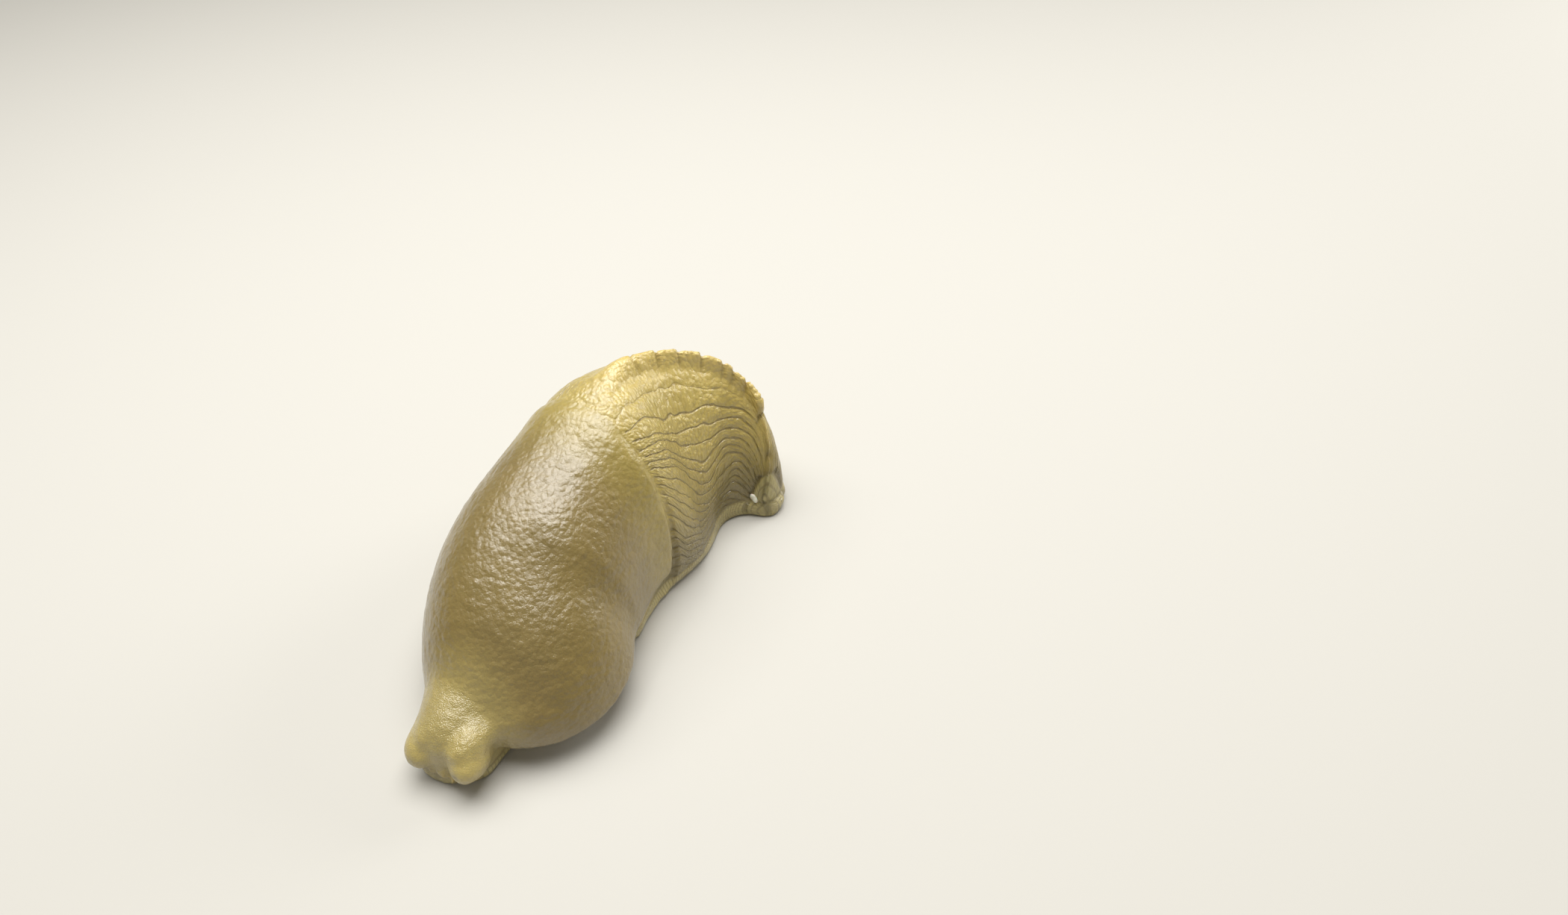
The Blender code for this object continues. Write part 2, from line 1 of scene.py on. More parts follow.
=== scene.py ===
# %% [markdown]
# A contracted banana slug, life size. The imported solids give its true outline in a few
# lengths. Here one wet, grooved skin takes their place, with a drop of slime at the tail, a
# pale floor, soft lights and the camera.

import math

import bpy
import numpy as np
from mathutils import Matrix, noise


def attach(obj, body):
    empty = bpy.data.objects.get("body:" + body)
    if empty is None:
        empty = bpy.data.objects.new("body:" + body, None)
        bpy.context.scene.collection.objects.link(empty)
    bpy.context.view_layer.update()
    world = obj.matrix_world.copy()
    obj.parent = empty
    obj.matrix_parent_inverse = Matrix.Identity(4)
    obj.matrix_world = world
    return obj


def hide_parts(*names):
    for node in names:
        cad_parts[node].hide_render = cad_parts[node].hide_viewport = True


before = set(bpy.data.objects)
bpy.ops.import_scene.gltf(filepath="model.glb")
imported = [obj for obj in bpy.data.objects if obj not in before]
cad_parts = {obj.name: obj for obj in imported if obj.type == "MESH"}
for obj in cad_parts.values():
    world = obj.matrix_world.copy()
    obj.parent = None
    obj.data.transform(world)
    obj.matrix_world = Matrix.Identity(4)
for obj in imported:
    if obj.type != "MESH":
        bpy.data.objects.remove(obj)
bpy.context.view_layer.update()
MM = 0.001
print("nodes", sorted(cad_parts))

# %% [markdown]
# A slug has no bones, so its shape is best told along a line. The body line runs from the
# front of the mantle hood to the tail tip, and the neck line leaves it under the mantle and
# turns to the slug's right. Half widths and heights at a few stations give the sections.
# These are the named sizes of the solids, in millimetres and degrees.

# %% Sizes along the body
BODY_AT = (0.0, 12.0, 24.0, 38.0, 50.0, 60.0, 70.0, 78.0, 84.4)
BODY_HEADING = (-3.5, -8.9, 12.9, 28.0, 35.5, 60.5, 87.5, 125.5, 170.0)
BODY_HALF_WIDTH = (15.6, 17.6, 18.5, 17.8, 19.0, 18.5, 14.6, 7.9, 4.8)
BODY_HEIGHT = (15.2, 23.5, 29.7, 33.6, 37.5, 35.2, 30.9, 21.6, 7.6)
BODY_END = BODY_AT[-1]
ANCHOR_AT = 24.0
ANCHOR = (-11.66, -7.21)
SECTION_AT = (42.0, 62.0, 80.0)
SECTION_POWER = (2.3, 1.45, 1.54)
LEAN_AT = (46.0, 56.0, 66.0, 75.0, 80.5, 84.4)
LEAN = (0.0, -1.0, -2.4, -3.5, -2.0, 1.2)
LEAN_POWER = 1.5
HOOD_ROUND = 14.0
HOOD_BLUNT = 2.2
HOOD_FRONT_HEIGHT = 0.42
HOOD_FRONT_AT = -3.5
TAIL_ROUND = 7.0
TAIL_END_HEIGHT = 0.6
print("the hump is highest at %.0f mm" % BODY_AT[BODY_HEIGHT.index(max(BODY_HEIGHT))])

# %% [markdown]
# The head, neck, foot and mantle have sizes of their own. The skirt of the foot stands a
# little proud of the flank, which tucks in above it, and the mantle lies proud of the back.

# %% Sizes of the head, foot and mantle
HEAD_FRONT = (-22.67, -37.39)
HEAD_HEADING = 9.0
FACE_HEADING = 26.0
NECK_ROOT_AT = 27.0
NECK_AT = (0.0, 10.0, 19.0)
NECK_HALF_WIDTH = (6.3, 8.7, 13.0)
NECK_HEIGHT = (10.4, 14.6, 18.6)
HEAD_ROUND = 4.8
HEAD_BLUNT = 2.8
HEAD_FRONT_HEIGHT = 0.6
FOOT_FRONT_HEIGHT = 1.9
FOOT_HEIGHT = 3.2
FOOT_TAIL_HEIGHT = 4.0
FOOT_TAIL_RISE = (66.0, 16.0)
FOOT_RISES_OVER = 20.0
FOOT_HALF_WIDTH = (6.0, 7.8, 11.4)
FOOT_AHEAD = 0.3
FOOT_EDGE_SHARE = 0.6
SKIRT_PROUD = 0.4
SKIRT_PROUD_TAIL = 0.6
FLANK_TUCK = 0.08
TUCK_BELOW = 8.0
MANTLE_PROUD = 0.4
MANTLE_SUNK = 2.25
MANTLE_EDGE_FRONT = 4.8
MANTLE_EDGE = 6.0
MANTLE_EDGE_RISES_OVER = 20.0
MANTLE_EDGE_MOST = 0.92
MANTLE_REAR_SIDE = 41.0
MANTLE_REAR_TOP = 44.8
MANTLE_REAR_POWER = 5
UPPER_TENTACLE = dict(front=2.2, root=7.2, side=3.9, root_side=3.4, height=6.2, radius=3.4)
LOWER_TENTACLE = dict(front=-0.4, root=3.0, side=2.0, root_side=2.0, height=2.85, radius=0.6)
LIP = dict(front=0.0, side=0.5, height=3.3, radii=(0.47, 0.8, 1.0))
print("the mantle is %.0f mm long on top" % (MANTLE_REAR_TOP - HOOD_FRONT_AT))


# %% [markdown]
# A smooth curve through a few stations does the work of a loft: it bends gently between
# them and never swings past them, as flesh doesn't either. Two small helpers fade one form
# into the next: a rise with flat ends, and a hill that falls away on both sides.

# %% Smooth curves
def through(stations, values, at):
    """A smooth curve through the stations that never swings past them."""
    x = np.asarray(stations, float)
    y = np.asarray(values, float)
    at = np.clip(np.asarray(at, float), x[0], x[-1])
    run = np.diff(x)
    slope = np.diff(y) / run
    bend = np.zeros(len(x))
    for k in range(1, len(x) - 1):
        before, after = slope[k - 1], slope[k]
        if before * after > 0:
            near, far = 2 * run[k] + run[k - 1], run[k] + 2 * run[k - 1]
            bend[k] = (near + far) / (near / before + far / after)
    bend[0], bend[-1] = slope[0], slope[-1]
    k = np.clip(np.searchsorted(x, at, side="right") - 1, 0, len(run) - 1)
    t = (at - x[k]) / run[k]
    rise = y[k] + (y[k + 1] - y[k]) * (3 * t**2 - 2 * t**3)
    return rise + run[k] * ((t**3 - 2 * t**2 + t) * bend[k] + (t**3 - t**2) * bend[k + 1])


def fade_in(value, start, run):
    """0 up to the start and 1 a run further on, with flat ends."""
    t = np.clip((value - start) / run, 0.0, 1.0)
    return t * t * (3 - 2 * t)


def hill(value, middle, width):
    """1 at the middle, falling to 0 on both sides of it."""
    return np.exp(-(((value - middle) / width) ** 2))


def round_end(distance, length, power=2.0):
    """How far a rounded end has opened at this distance from its tip."""
    return np.sqrt(1 - np.clip(1 - distance / length, 0.0, 1.0) ** power)


print("half width at 55 mm: %.1f mm" % through(BODY_AT, BODY_HALF_WIDTH, 55.0))

# %% [markdown]
# The body line is walked in small steps along its headings. The neck line is one Bezier
# curve, from the head to its root on the body line. All the other forms are then placed
# along these two lines, sideways from them and above the floor.

# %% The two lines
BODY_STEPS, NECK_STEPS = 357, 161


def body_line():
    at = np.linspace(HOOD_FRONT_AT, BODY_END, BODY_STEPS)
    heading = np.radians(through(BODY_AT, BODY_HEADING, at))
    step = at[1] - at[0]
    line = []
    for part, anchor in ((np.sin(heading), ANCHOR[0]), (np.cos(heading), ANCHOR[1])):
        run = np.concatenate([[0.0], np.cumsum((part[1:] + part[:-1]) / 2 * step)])
        line.append(run - np.interp(ANCHOR_AT, at, run) + anchor)
    return at, line[0], line[1], heading


def neck_line(body):
    root = np.array([np.interp(NECK_ROOT_AT, body[0], body[k]) for k in (1, 2)])
    root_heading = np.interp(NECK_ROOT_AT, body[0], body[3])
    head = np.array(HEAD_FRONT)
    head_heading = math.radians(HEAD_HEADING)
    reach = np.linalg.norm(root - head) / 3
    near = head + reach * np.array([math.sin(head_heading), math.cos(head_heading)])
    far = root - reach * np.array([math.sin(root_heading), math.cos(root_heading)])
    t = np.linspace(0.0, 1.0, NECK_STEPS)[:, None]
    points = (1 - t) ** 3 * head + 3 * (1 - t) ** 2 * t * near
    points = points + 3 * (1 - t) * t**2 * far + t**3 * root
    along = np.gradient(points, axis=0)
    steps = np.linalg.norm(np.diff(points, axis=0), axis=1)
    at = np.concatenate([[0.0], np.cumsum(steps)])
    return at, points[:, 0], points[:, 1], np.arctan2(along[:, 0], along[:, 1])


def place(line, at, side, height):
    """Points at a distance along a line, sideways to the slug's left, above the floor."""
    at = np.asarray(at, float)
    inside = np.clip(at, line[0][0], line[0][-1])
    x, y, heading = (np.interp(inside, line[0], part) for part in line[1:])
    x = x + (at - inside) * np.sin(heading) + side * np.cos(heading)
    y = y + (at - inside) * np.cos(heading) - side * np.sin(heading)
    return np.stack(np.broadcast_arrays(x, y, height), axis=-1)


def face(front, side, height):
    """A point at the front of the head, which faces a little further round than the neck."""
    ahead, across = math.sin(math.radians(FACE_HEADING)), math.cos(math.radians(FACE_HEADING))
    x = HEAD_FRONT[0] + front * ahead + side * across
    return np.array((x, HEAD_FRONT[1] + front * across - side * ahead, height))


BODY = body_line()
NECK = neck_line(BODY)
NECK_END = NECK[0][-1]
print("body line %.1f mm, neck line %.1f mm" % (BODY_END, NECK_END))

# %% [markdown]
# Each section is a rounded arch: a superellipse, squarer at the front and more pointed at
# the back. Behind the mantle its crest leans over to the slug's right, and back at the tail.


# %% Sections
def body_size(at):
    """Half width and height of the body."""
    front = round_end(at - HOOD_FRONT_AT, HOOD_ROUND, HOOD_BLUNT)
    rear = round_end(BODY_END - at, TAIL_ROUND)
    half = through(BODY_AT, BODY_HALF_WIDTH, at) * front * rear
    high = through(BODY_AT, BODY_HEIGHT, at)
    high = high * (HOOD_FRONT_HEIGHT + (1 - HOOD_FRONT_HEIGHT) * front)
    return half, high * (TAIL_END_HEIGHT + (1 - TAIL_END_HEIGHT) * rear)


def neck_size(at):
    """Half width and height of the head and neck."""
    half, high = body_size(NECK_ROOT_AT)
    stations = NECK_AT + (NECK_END,)
    front = round_end(at, HEAD_ROUND, HEAD_BLUNT)
    half = through(stations, NECK_HALF_WIDTH + (half - MANTLE_SUNK,), at) * front
    high = through(stations, NECK_HEIGHT + (high - MANTLE_SUNK,), at)
    return half, high * (HEAD_FRONT_HEIGHT + (1 - HEAD_FRONT_HEIGHT) * front)


def body_power(at):
    return np.interp(at, SECTION_AT, SECTION_POWER)


def neck_power(at):
    return np.full(np.shape(at), SECTION_POWER[0])


def section(angle, power):
    """Sideways and upward shares of a section at an angle off its top."""
    side = np.sign(np.sin(angle)) * np.abs(np.sin(angle)) ** (2 / power)
    return side, np.abs(np.cos(angle)) ** (2 / power)


def angle_at(height, high, power):
    """The angle at which a section comes down to a height."""
    return np.arccos(np.clip(height / high, 0.0, 1.0) ** (power / 2))


def lean(at, up):
    """How far the back leans over sideways, most at its crest."""
    return through(LEAN_AT, LEAN, at) * up**LEAN_POWER


def tuck(height):
    return 1 - FLANK_TUCK * np.clip(1 - height / TUCK_BELOW, 0.0, 1.0) ** 2


print("section at 55 mm: half width %.1f mm, height %.1f mm" % body_size(55.0))

# %% [markdown]
# The keel is a ridge along the top of the back. When a slug pulls itself together, the skin
# on the keel bunches into small scallops that lap over one another, each with a steep rear.
# The foot and the mantle end along edges that rise and curve, so they have formulas too.

# %% The folded keel and the edges
KEEL_HEIGHT = 2.4
KEEL_ANGLE = 0.17
KEEL_RANGE = (48.3, 55.5, 76.0, 83.0)
KEEL_FOLDS = (52.0, 57.0, 61.5, 65.4, 69.1, 72.3, 73.8, 75.6, 78.3, 81.2, 84.5)
KEEL_FOLD_DEPTH = (0.1, 0.12, 0.15, 0.2, 0.42, 0.3, 0.3, 0.4, 0.7, 0.25)
KEEL_FOLD_PEAK = (1.0, 1.0, 1.0, 1.0, 1.1, 1.2, 1.25, 1.7, 1.2, 1.0)
KEEL_FOLD_SWELL = 0.55


def fold(at):
    """How much of the keel stands: each scallop swells toward the tail and drops at its end."""
    edges = np.array(KEEL_FOLDS)
    k = np.clip(np.searchsorted(edges, at) - 1, 0, len(edges) - 2)
    run = np.clip((at - edges[k]) / (edges[k + 1] - edges[k]), 0.0, 1.0)
    depth, peak = np.array(KEEL_FOLD_DEPTH)[k], np.array(KEEL_FOLD_PEAK)[k]
    return peak * (1 - depth * (1 - run**KEEL_FOLD_SWELL))


def keel(at, angle):
    stand = np.interp(at, KEEL_RANGE, (0.0, 1.0, 1.0, 0.0))
    return KEEL_HEIGHT * fade_in(stand, 0.0, 1.0) * fold(at) * hill(angle, 0.0, KEEL_ANGLE)


def foot_height(line, at):
    if line is NECK:
        rise = fade_in(at, 0.0, FOOT_RISES_OVER)
        return FOOT_FRONT_HEIGHT + (FOOT_HEIGHT - FOOT_FRONT_HEIGHT) * rise
    return FOOT_HEIGHT + (FOOT_TAIL_HEIGHT - FOOT_HEIGHT) * fade_in(at, *FOOT_TAIL_RISE)


def edge_height(at):
    rise = fade_in(at, HOOD_FRONT_AT, MANTLE_EDGE_RISES_OVER)
    return MANTLE_EDGE_FRONT + (MANTLE_EDGE - MANTLE_EDGE_FRONT) * rise


def rear_edge(across):
    reach = 1 - np.abs(across) ** MANTLE_REAR_POWER
    return MANTLE_REAR_SIDE + (MANTLE_REAR_TOP - MANTLE_REAR_SIDE) * reach


print("%d folds in the keel" % (len(KEEL_FOLDS) - 1))

# %% [markdown]
# Each length of flesh starts as a flat grid, rolled round its line like a sheet of clay: one
# way of the grid goes along the line, the other goes over the back and home under the sole.
# Doubles are merged where the sheet meets itself, and the two ends are filled.

# %% Rolling a sheet round a line
OVER_SHARE = 0.8
MERGE_M = 1e-6


def deselect():
    bpy.ops.object.select_all(action="DESELECT")


def rolled(name, grid, shape):
    """A closed solid from a grid: shape(along, across, under) gives its points in mm."""
    deselect()
    bpy.ops.mesh.primitive_grid_add(x_subdivisions=grid[1], y_subdivisions=grid[0], size=1)
    piece = bpy.context.object
    piece.name = name
    flat = np.empty(len(piece.data.vertices) * 3)
    piece.data.vertices.foreach_get("co", flat)
    u, v = flat.reshape(-1, 3)[:, 0] + 0.5, flat.reshape(-1, 3)[:, 1] + 0.5
    across = np.clip(1 - 2 * u / OVER_SHARE, -1.0, 1.0)
    under = np.clip((u - OVER_SHARE) / (1 - OVER_SHARE), 0.0, 1.0)
    points = shape(v, across, under) * MM
    piece.data.vertices.foreach_set("co", points.ravel())
    bpy.ops.object.mode_set(mode="EDIT")
    bpy.ops.mesh.select_all(action="SELECT")
    bpy.ops.mesh.remove_doubles(threshold=MERGE_M)
    bpy.ops.mesh.fill_holes(sides=0)
    bpy.ops.mesh.select_all(action="SELECT")
    bpy.ops.mesh.normals_make_consistent(inside=False)
    bpy.ops.object.mode_set(mode="OBJECT")
    print("%s: %d points" % (name, len(piece.data.vertices)))
    return piece


def closed_under(line, at, side, height, low, under):
    """Points over the back, and on the way home a straight run at the height low."""
    home = under > 0
    side = np.where(home, side * (1 - 2 * under), side)
    return place(line, at, side, np.where(home, low, height))


# %% [markdown]
# The trunk starts under the mantle, a little sunk, and comes up flush behind it. The neck
# runs on into the trunk. Both end low inside the foot, which closes them below.

# %% The trunk and the neck
TRUNK_GRID, NECK_GRID = (330, 220), (160, 150)
TRUNK_START, TRUNK_SUNK = 22.0, 0.9
TRUNK_RISES_OVER, TRUNK_RISES_BEFORE = 1.0, 0.2
NECK_RUNS_ON = 3.0
FLESH_LOW = 1.0
END_GAP = 0.02


def flesh(line, start, end, inset):
    """A shape function for flesh on a line, sunk by inset(at, across)."""
    size, power_of = (body_size, body_power) if line is BODY else (neck_size, neck_power)

    def shape(v, across, under):
        at = start + (end - start) * v
        half, high = size(at)
        power = power_of(at)
        angle = angle_at(FLESH_LOW, high, power) * across
        side, up = section(angle, power)
        sunk = inset(at, across)
        height = (high - sunk) * up
        if line is BODY:
            height = height + keel(at, angle)
        side = (half - sunk) * side * tuck(height)
        if line is BODY:
            side = side + lean(at, up)
        return closed_under(line, at, side, height, FLESH_LOW, under)

    return shape


def under_mantle(at, across):
    """Sunk under the mantle, flush behind it."""
    return TRUNK_SUNK * (1 - fade_in(at, rear_edge(across) - TRUNK_RISES_BEFORE, TRUNK_RISES_OVER))


def not_sunk(at, across):
    return 0.0


trunk_shape = flesh(BODY, TRUNK_START, BODY_END - END_GAP, under_mantle)
neck_shape = flesh(NECK, END_GAP, NECK_END + NECK_RUNS_ON, not_sunk)
pieces = [rolled("trunk", TRUNK_GRID, trunk_shape), rolled("neck", NECK_GRID, neck_shape)]

# %% [markdown]
# The mantle is a thick shield, without grooves, that lies on the front of the back. In front
# it forms a hood over the neck, and its edge rounds under all the way. It is one more rolled
# sheet, with a curved rear edge, that ends just under the skin of the back.

# %% The mantle
MANTLE_GRID = (260, 240)
MANTLE_CROWDED = 1.25
MANTLE_REAR_ROUND, MANTLE_REAR_DROP = 1.3, 1.7
MANTLE_ROLL_FROM, MANTLE_ROLL_DROP = 0.955, 1.1
TIP_GAP = 0.03


def mantle_shape(v, across, under):
    rear = rear_edge(across)
    front = HOOD_FRONT_AT + TIP_GAP
    at = front + (rear - front) * v**MANTLE_CROWDED
    half, high = body_size(at)
    power = body_power(at)
    edge = edge_height(at)
    angle = angle_at(np.minimum(edge, MANTLE_EDGE_MOST * high), high, power) * across
    side, up = section(angle, power)
    back = np.clip(1 - (rear - at) / MANTLE_REAR_ROUND, 0.0, 1.0)
    roll = np.clip((np.abs(across) - MANTLE_ROLL_FROM) / (1 - MANTLE_ROLL_FROM), 0.0, 1.0)
    sunk = MANTLE_REAR_DROP * (1 - np.sqrt(1 - back**2)) - MANTLE_PROUD
    drop = MANTLE_ROLL_DROP * (1 - np.sqrt(1 - roll**2))
    height = (high - sunk) * up
    side = (half - sunk - drop) * side
    return closed_under(BODY, at, side, height, np.minimum(edge, height), under)


pieces.append(rolled("mantle", MANTLE_GRID, mantle_shape))

# %% [markdown]
# The foot is a slab with a rounded rim, the skirt, that stands a little proud of the flank
# and further out round the tail. Its sole is flat at one level, so the slug stands still.

# %% The foot
FOOT_FRONT_GRID, FOOT_REAR_GRID = (100, 120), (220, 120)
FOOT_RUNS_ON, FOOT_LAPS = 1.0, 2.0
FOOT_FLAT_SHARE = 0.8


def foot_half_width(line, at):
    if line is BODY:
        rise = fade_in(at, *FOOT_TAIL_RISE)
        proud = SKIRT_PROUD + (SKIRT_PROUD_TAIL - SKIRT_PROUD) * rise
        return body_size(at)[0] * (1 - FLANK_TUCK) + proud
    root = body_size(NECK_ROOT_AT)[0] * (1 - FLANK_TUCK) + SKIRT_PROUD
    half = through(NECK_AT + (NECK_END,), FOOT_HALF_WIDTH + (root,), at)
    return half * round_end(at + FOOT_AHEAD, HEAD_ROUND, HEAD_BLUNT)


def foot_shape(line, start, end):
    def shape(v, across, under):
        at = start + (end - start) * v
        half, top = foot_half_width(line, at), foot_height(line, at)
        rim = np.minimum(top / 2, half * FOOT_EDGE_SHARE)
        turn = np.clip((np.abs(across) - FOOT_FLAT_SHARE) / (1 - FOOT_FLAT_SHARE), 0.0, 1.0) * math.pi
        flat = np.clip(across / FOOT_FLAT_SHARE, -1.0, 1.0)
        side = flat * (half - rim) + np.sign(across) * rim * np.sin(turn)
        height = top / 2 + top / 2 * np.cos(turn)
        return closed_under(line, at, side, height, 0.0, under)

    return shape


front_shape = foot_shape(NECK, END_GAP - FOOT_AHEAD, NECK_END + FOOT_RUNS_ON)
rear_shape = foot_shape(BODY, NECK_ROOT_AT - FOOT_LAPS, BODY_END - TIP_GAP)
pieces.append(rolled("foot_front_skin", FOOT_FRONT_GRID, front_shape))
pieces.append(rolled("foot_rear_skin", FOOT_REAR_GRID, rear_shape))

# %% [markdown]
# A slug can draw in all its tentacles. Here the upper pair are two blunt mounds at the
# corners of the head, with the eyes pulled inside, and the lower pair two small knobs
# beside the lips. Each is a ball drawn out along its own direction. A brow behind each upper
# one carries it up to the top of the head in a soft ridge.

# %% Tentacles, brows and lips
TENTACLE_DEPTH = 0.3
BROW = dict(front=5.0, side=3.1, height=8.2, radii=(3.3, 5.0, 3.2))
UPPER_SHIFT = {-1: (-0.5, -0.7, -0.5), 1: (0.0, 0.0, 0.0)}


def ball(name, centre, radii, heading, segments=40):
    deselect()
    bpy.ops.mesh.primitive_uv_sphere_add(segments=segments, ring_count=segments // 2, radius=1.0)
    piece = bpy.context.object
    piece.name = name
    piece.scale = [radius * MM for radius in radii]
    piece.rotation_euler = (0.0, 0.0, -heading)
    piece.location = [float(value) * MM for value in centre]
    bpy.ops.object.transform_apply(location=True, rotation=True, scale=True)
    return piece


def tentacle(name, size, mirror, shift):
    """A ball from the tip toward the root, on the slug's left or its mirror on the right."""
    tip = face(size["front"], mirror * size["side"], size["height"]) + np.array(shift)
    root = place(NECK, size["root"], mirror * size["root_side"], size["height"])
    inward = (root - tip) * TENTACLE_DEPTH
    long = size["radius"] + np.linalg.norm(root - tip) * TENTACLE_DEPTH
    turn = math.atan2(root[0] - tip[0], root[1] - tip[1])
    return ball(name, tip + inward, (size["radius"], long, size["radius"]), turn)


def face_ball(name, size, mirror, segments):
    centre = face(size["front"], mirror * size["side"], size["height"])
    return ball(name, centre, size["radii"], math.radians(FACE_HEADING), segments)


for mirror in (-1, 1):
    pieces.append(tentacle("tentacle_upper_%d" % mirror, UPPER_TENTACLE, mirror, UPPER_SHIFT[mirror]))
    pieces.append(tentacle("tentacle_lower_%d" % mirror, LOWER_TENTACLE, mirror, (0.0, 0.0, 0.0)))
    pieces.append(face_ball("brow_%d" % mirror, BROW, mirror, 32))
    pieces.append(face_ball("lip_%d" % mirror, LIP, mirror, 24))
print(len(pieces), "closed pieces of flesh")

# %% [markdown]
# The overlapping pieces become one skin with a voxel remesh, as wet clay is pressed together,
# and a light smoothing softens the joins into creases.

# %% One skin
VOXEL = 0.39
SMOOTH_STEPS, SMOOTH_FACTOR = 3, 0.5

deselect()
for piece in pieces:
    piece.select_set(True)
bpy.context.view_layer.objects.active = pieces[0]
bpy.ops.object.join()
skin = bpy.context.object
skin.name = "slug_skin"


def finish_modifier(piece, kind, **settings):
    """Adds a modifier by its operator, sets it and applies it."""
    deselect()
    piece.select_set(True)
    bpy.context.view_layer.objects.active = piece
    bpy.ops.object.modifier_add(type=kind)
    modifier = piece.modifiers[-1]
    for key, value in settings.items():
        setattr(modifier, key, value)
    bpy.ops.object.modifier_apply(modifier=modifier.name)


def read_points(piece):
    """The points of a mesh, in mm."""
    flat = np.empty(len(piece.data.vertices) * 3, np.float32)
    piece.data.vertices.foreach_get("co", flat)
    return flat.reshape(-1, 3).astype(float) / MM


finish_modifier(skin, "REMESH", mode="VOXEL", voxel_size=VOXEL * MM, adaptivity=0.0)
finish_modifier(skin, "SMOOTH", factor=SMOOTH_FACTOR, iterations=SMOOTH_STEPS)
print("skin: %d faces" % len(skin.data.polygons))

# %% [markdown]
# Some joins need more smoothing than the rest, through groups of points. The two lobes flow
# into the head, though the face keeps its form. No step shows in life where the hood's rim
# meets the neck, where the mantle's thin rear edge gives way to the keel, or where the two
# lengths of the skirt meet, so those get the most.

# %% Softer joins
HEAD_SMOOTH_STEPS, HEAD_REACH, HEAD_FADE = 24, 19.0, 5.0
HEAD_ABOVE, HEAD_ABOVE_FADE = 4.2, 1.2
FACE_KEEPS, FACE_DEPTH, FACE_FADE = 0.18, 2.4, 3.5
HOOD_SMOOTH_STEPS, HOOD_RIM, HOOD_RIM_REACH = 110, 10.5, 6.0
HOOD_ABOVE, HOOD_ABOVE_FADE = 7.0, 2.5
CREST_SMOOTH_STEPS, CREST_REACH, CREST_FULL = 90, 13.0, 1.25
CREST_AT, CREST_HEIGHT = 47.0, 36.5
FOOT_JOIN_SMOOTH_STEPS, FOOT_JOIN_REACH, FOOT_JOIN_FULL = 150, 8.0, 1.3
FOOT_JOIN_AT, FOOT_JOIN_HEIGHT = 24.5, 3.5
SOLE_LEVEL = 0.2
GROUP_LEAST = 0.01


def from_head_front(points):
    """How far each point lies from the front of the head, seen from above."""
    return np.hypot(points[:, 0] - HEAD_FRONT[0], points[:, 1] - HEAD_FRONT[1])


def behind_face(points):
    turned = math.radians(FACE_HEADING)
    dx, dy = points[:, 0] - HEAD_FRONT[0], points[:, 1] - HEAD_FRONT[1]
    return dx * math.sin(turned) + dy * math.cos(turned)


def near(points, centre, reach, full):
    """1 near a centre, fading to 0 further off."""
    return fade_in(full - np.linalg.norm(points - centre, axis=1) / reach, 0.0, 1.0)


def head_share(points):
    reached = 1 - fade_in(from_head_front(points), HEAD_REACH - HEAD_FADE, HEAD_FADE)
    kept = FACE_KEEPS + (1 - FACE_KEEPS) * fade_in(behind_face(points), FACE_DEPTH, FACE_FADE)
    return reached * kept * fade_in(points[:, 2], HEAD_ABOVE, HEAD_ABOVE_FADE)


def hood_share(points):
    off_rim = np.abs(from_head_front(points) - HOOD_RIM) / HOOD_RIM_REACH
    return fade_in(1 - off_rim, 0.0, 1.0) * fade_in(points[:, 2], HOOD_ABOVE, HOOD_ABOVE_FADE)


def foot_join_share(points):
    side = body_size(NECK_ROOT_AT)[0]
    joins = [place(BODY, FOOT_JOIN_AT, mirror * side, FOOT_JOIN_HEIGHT) for mirror in (-1, 1)]
    shares = [near(points, join, FOOT_JOIN_REACH, FOOT_JOIN_FULL) for join in joins]
    return np.maximum(*shares) * (points[:, 2] > SOLE_LEVEL)


points = read_points(skin)
crest = place(BODY, CREST_AT, 0.0, CREST_HEIGHT)
softer = (
    ("head", head_share(points), HEAD_SMOOTH_STEPS),
    ("hood_rim", hood_share(points), HOOD_SMOOTH_STEPS),
    ("crest", near(points, crest, CREST_REACH, CREST_FULL), CREST_SMOOTH_STEPS),
    ("foot_join", foot_join_share(points), FOOT_JOIN_SMOOTH_STEPS),
)
for name, share, steps in softer:
    group = skin.vertex_groups.new(name=name)
    for k in np.flatnonzero(share > GROUP_LEAST):
        group.add([int(k)], float(share[k]), "REPLACE")
    finish_modifier(skin, "SMOOTH", factor=SMOOTH_FACTOR, iterations=steps, vertex_group=name)
    print("%s: %d points softened" % (name, (share > GROUP_LEAST).sum()))

# %% [markdown]
# To draw on the skin, each point must know where it is on the animal: how far along the
# body, how far down the flank, and whether it is mantle, back, head or foot. The nearest
# point of each line gives the first, and the section's own formula gives the rest.

# %% Where each point lies
BODY_REACH, BODY_REACH_MORE = 1.15, 1.5
NECK_REACH = 100.0
FAR_OFF = 1000.0
BLOCK = 20000
STRETCH_RANGE = (0.25, 4.0)
HALF_STEP = 0.15
LEAST_SIZE = 0.05


def along_line(line, points, reach):
    """Distance along a line, and sideways from it, of each point. A place on the line counts
    only if the point lies within its reach, since the tail curls round beside the flank."""
    nearest = np.empty(len(points), int)
    for start in range(0, len(points), BLOCK):
        block = points[start : start + BLOCK]
        gap = (block[:, :1] - line[1]) ** 2 + (block[:, 1:2] - line[2]) ** 2
        gap = np.where(gap > reach**2, gap + FAR_OFF, gap)
        nearest[start : start + BLOCK] = gap.argmin(axis=1)
    heading = line[3][nearest]
    dx, dy = points[:, 0] - line[1][nearest], points[:, 1] - line[2][nearest]
    side = dx * np.cos(heading) - dy * np.sin(heading)
    bend = np.gradient(line[3], line[0])[nearest]
    ahead = (dx * np.sin(heading) + dy * np.cos(heading)) / np.clip(1 - bend * side, *STRETCH_RANGE)
    inner = (nearest > 0) & (nearest < len(line[0]) - 1)
    ahead = np.where(inner, np.clip(ahead, -HALF_STEP, HALF_STEP), ahead)
    return line[0][nearest] + ahead, side


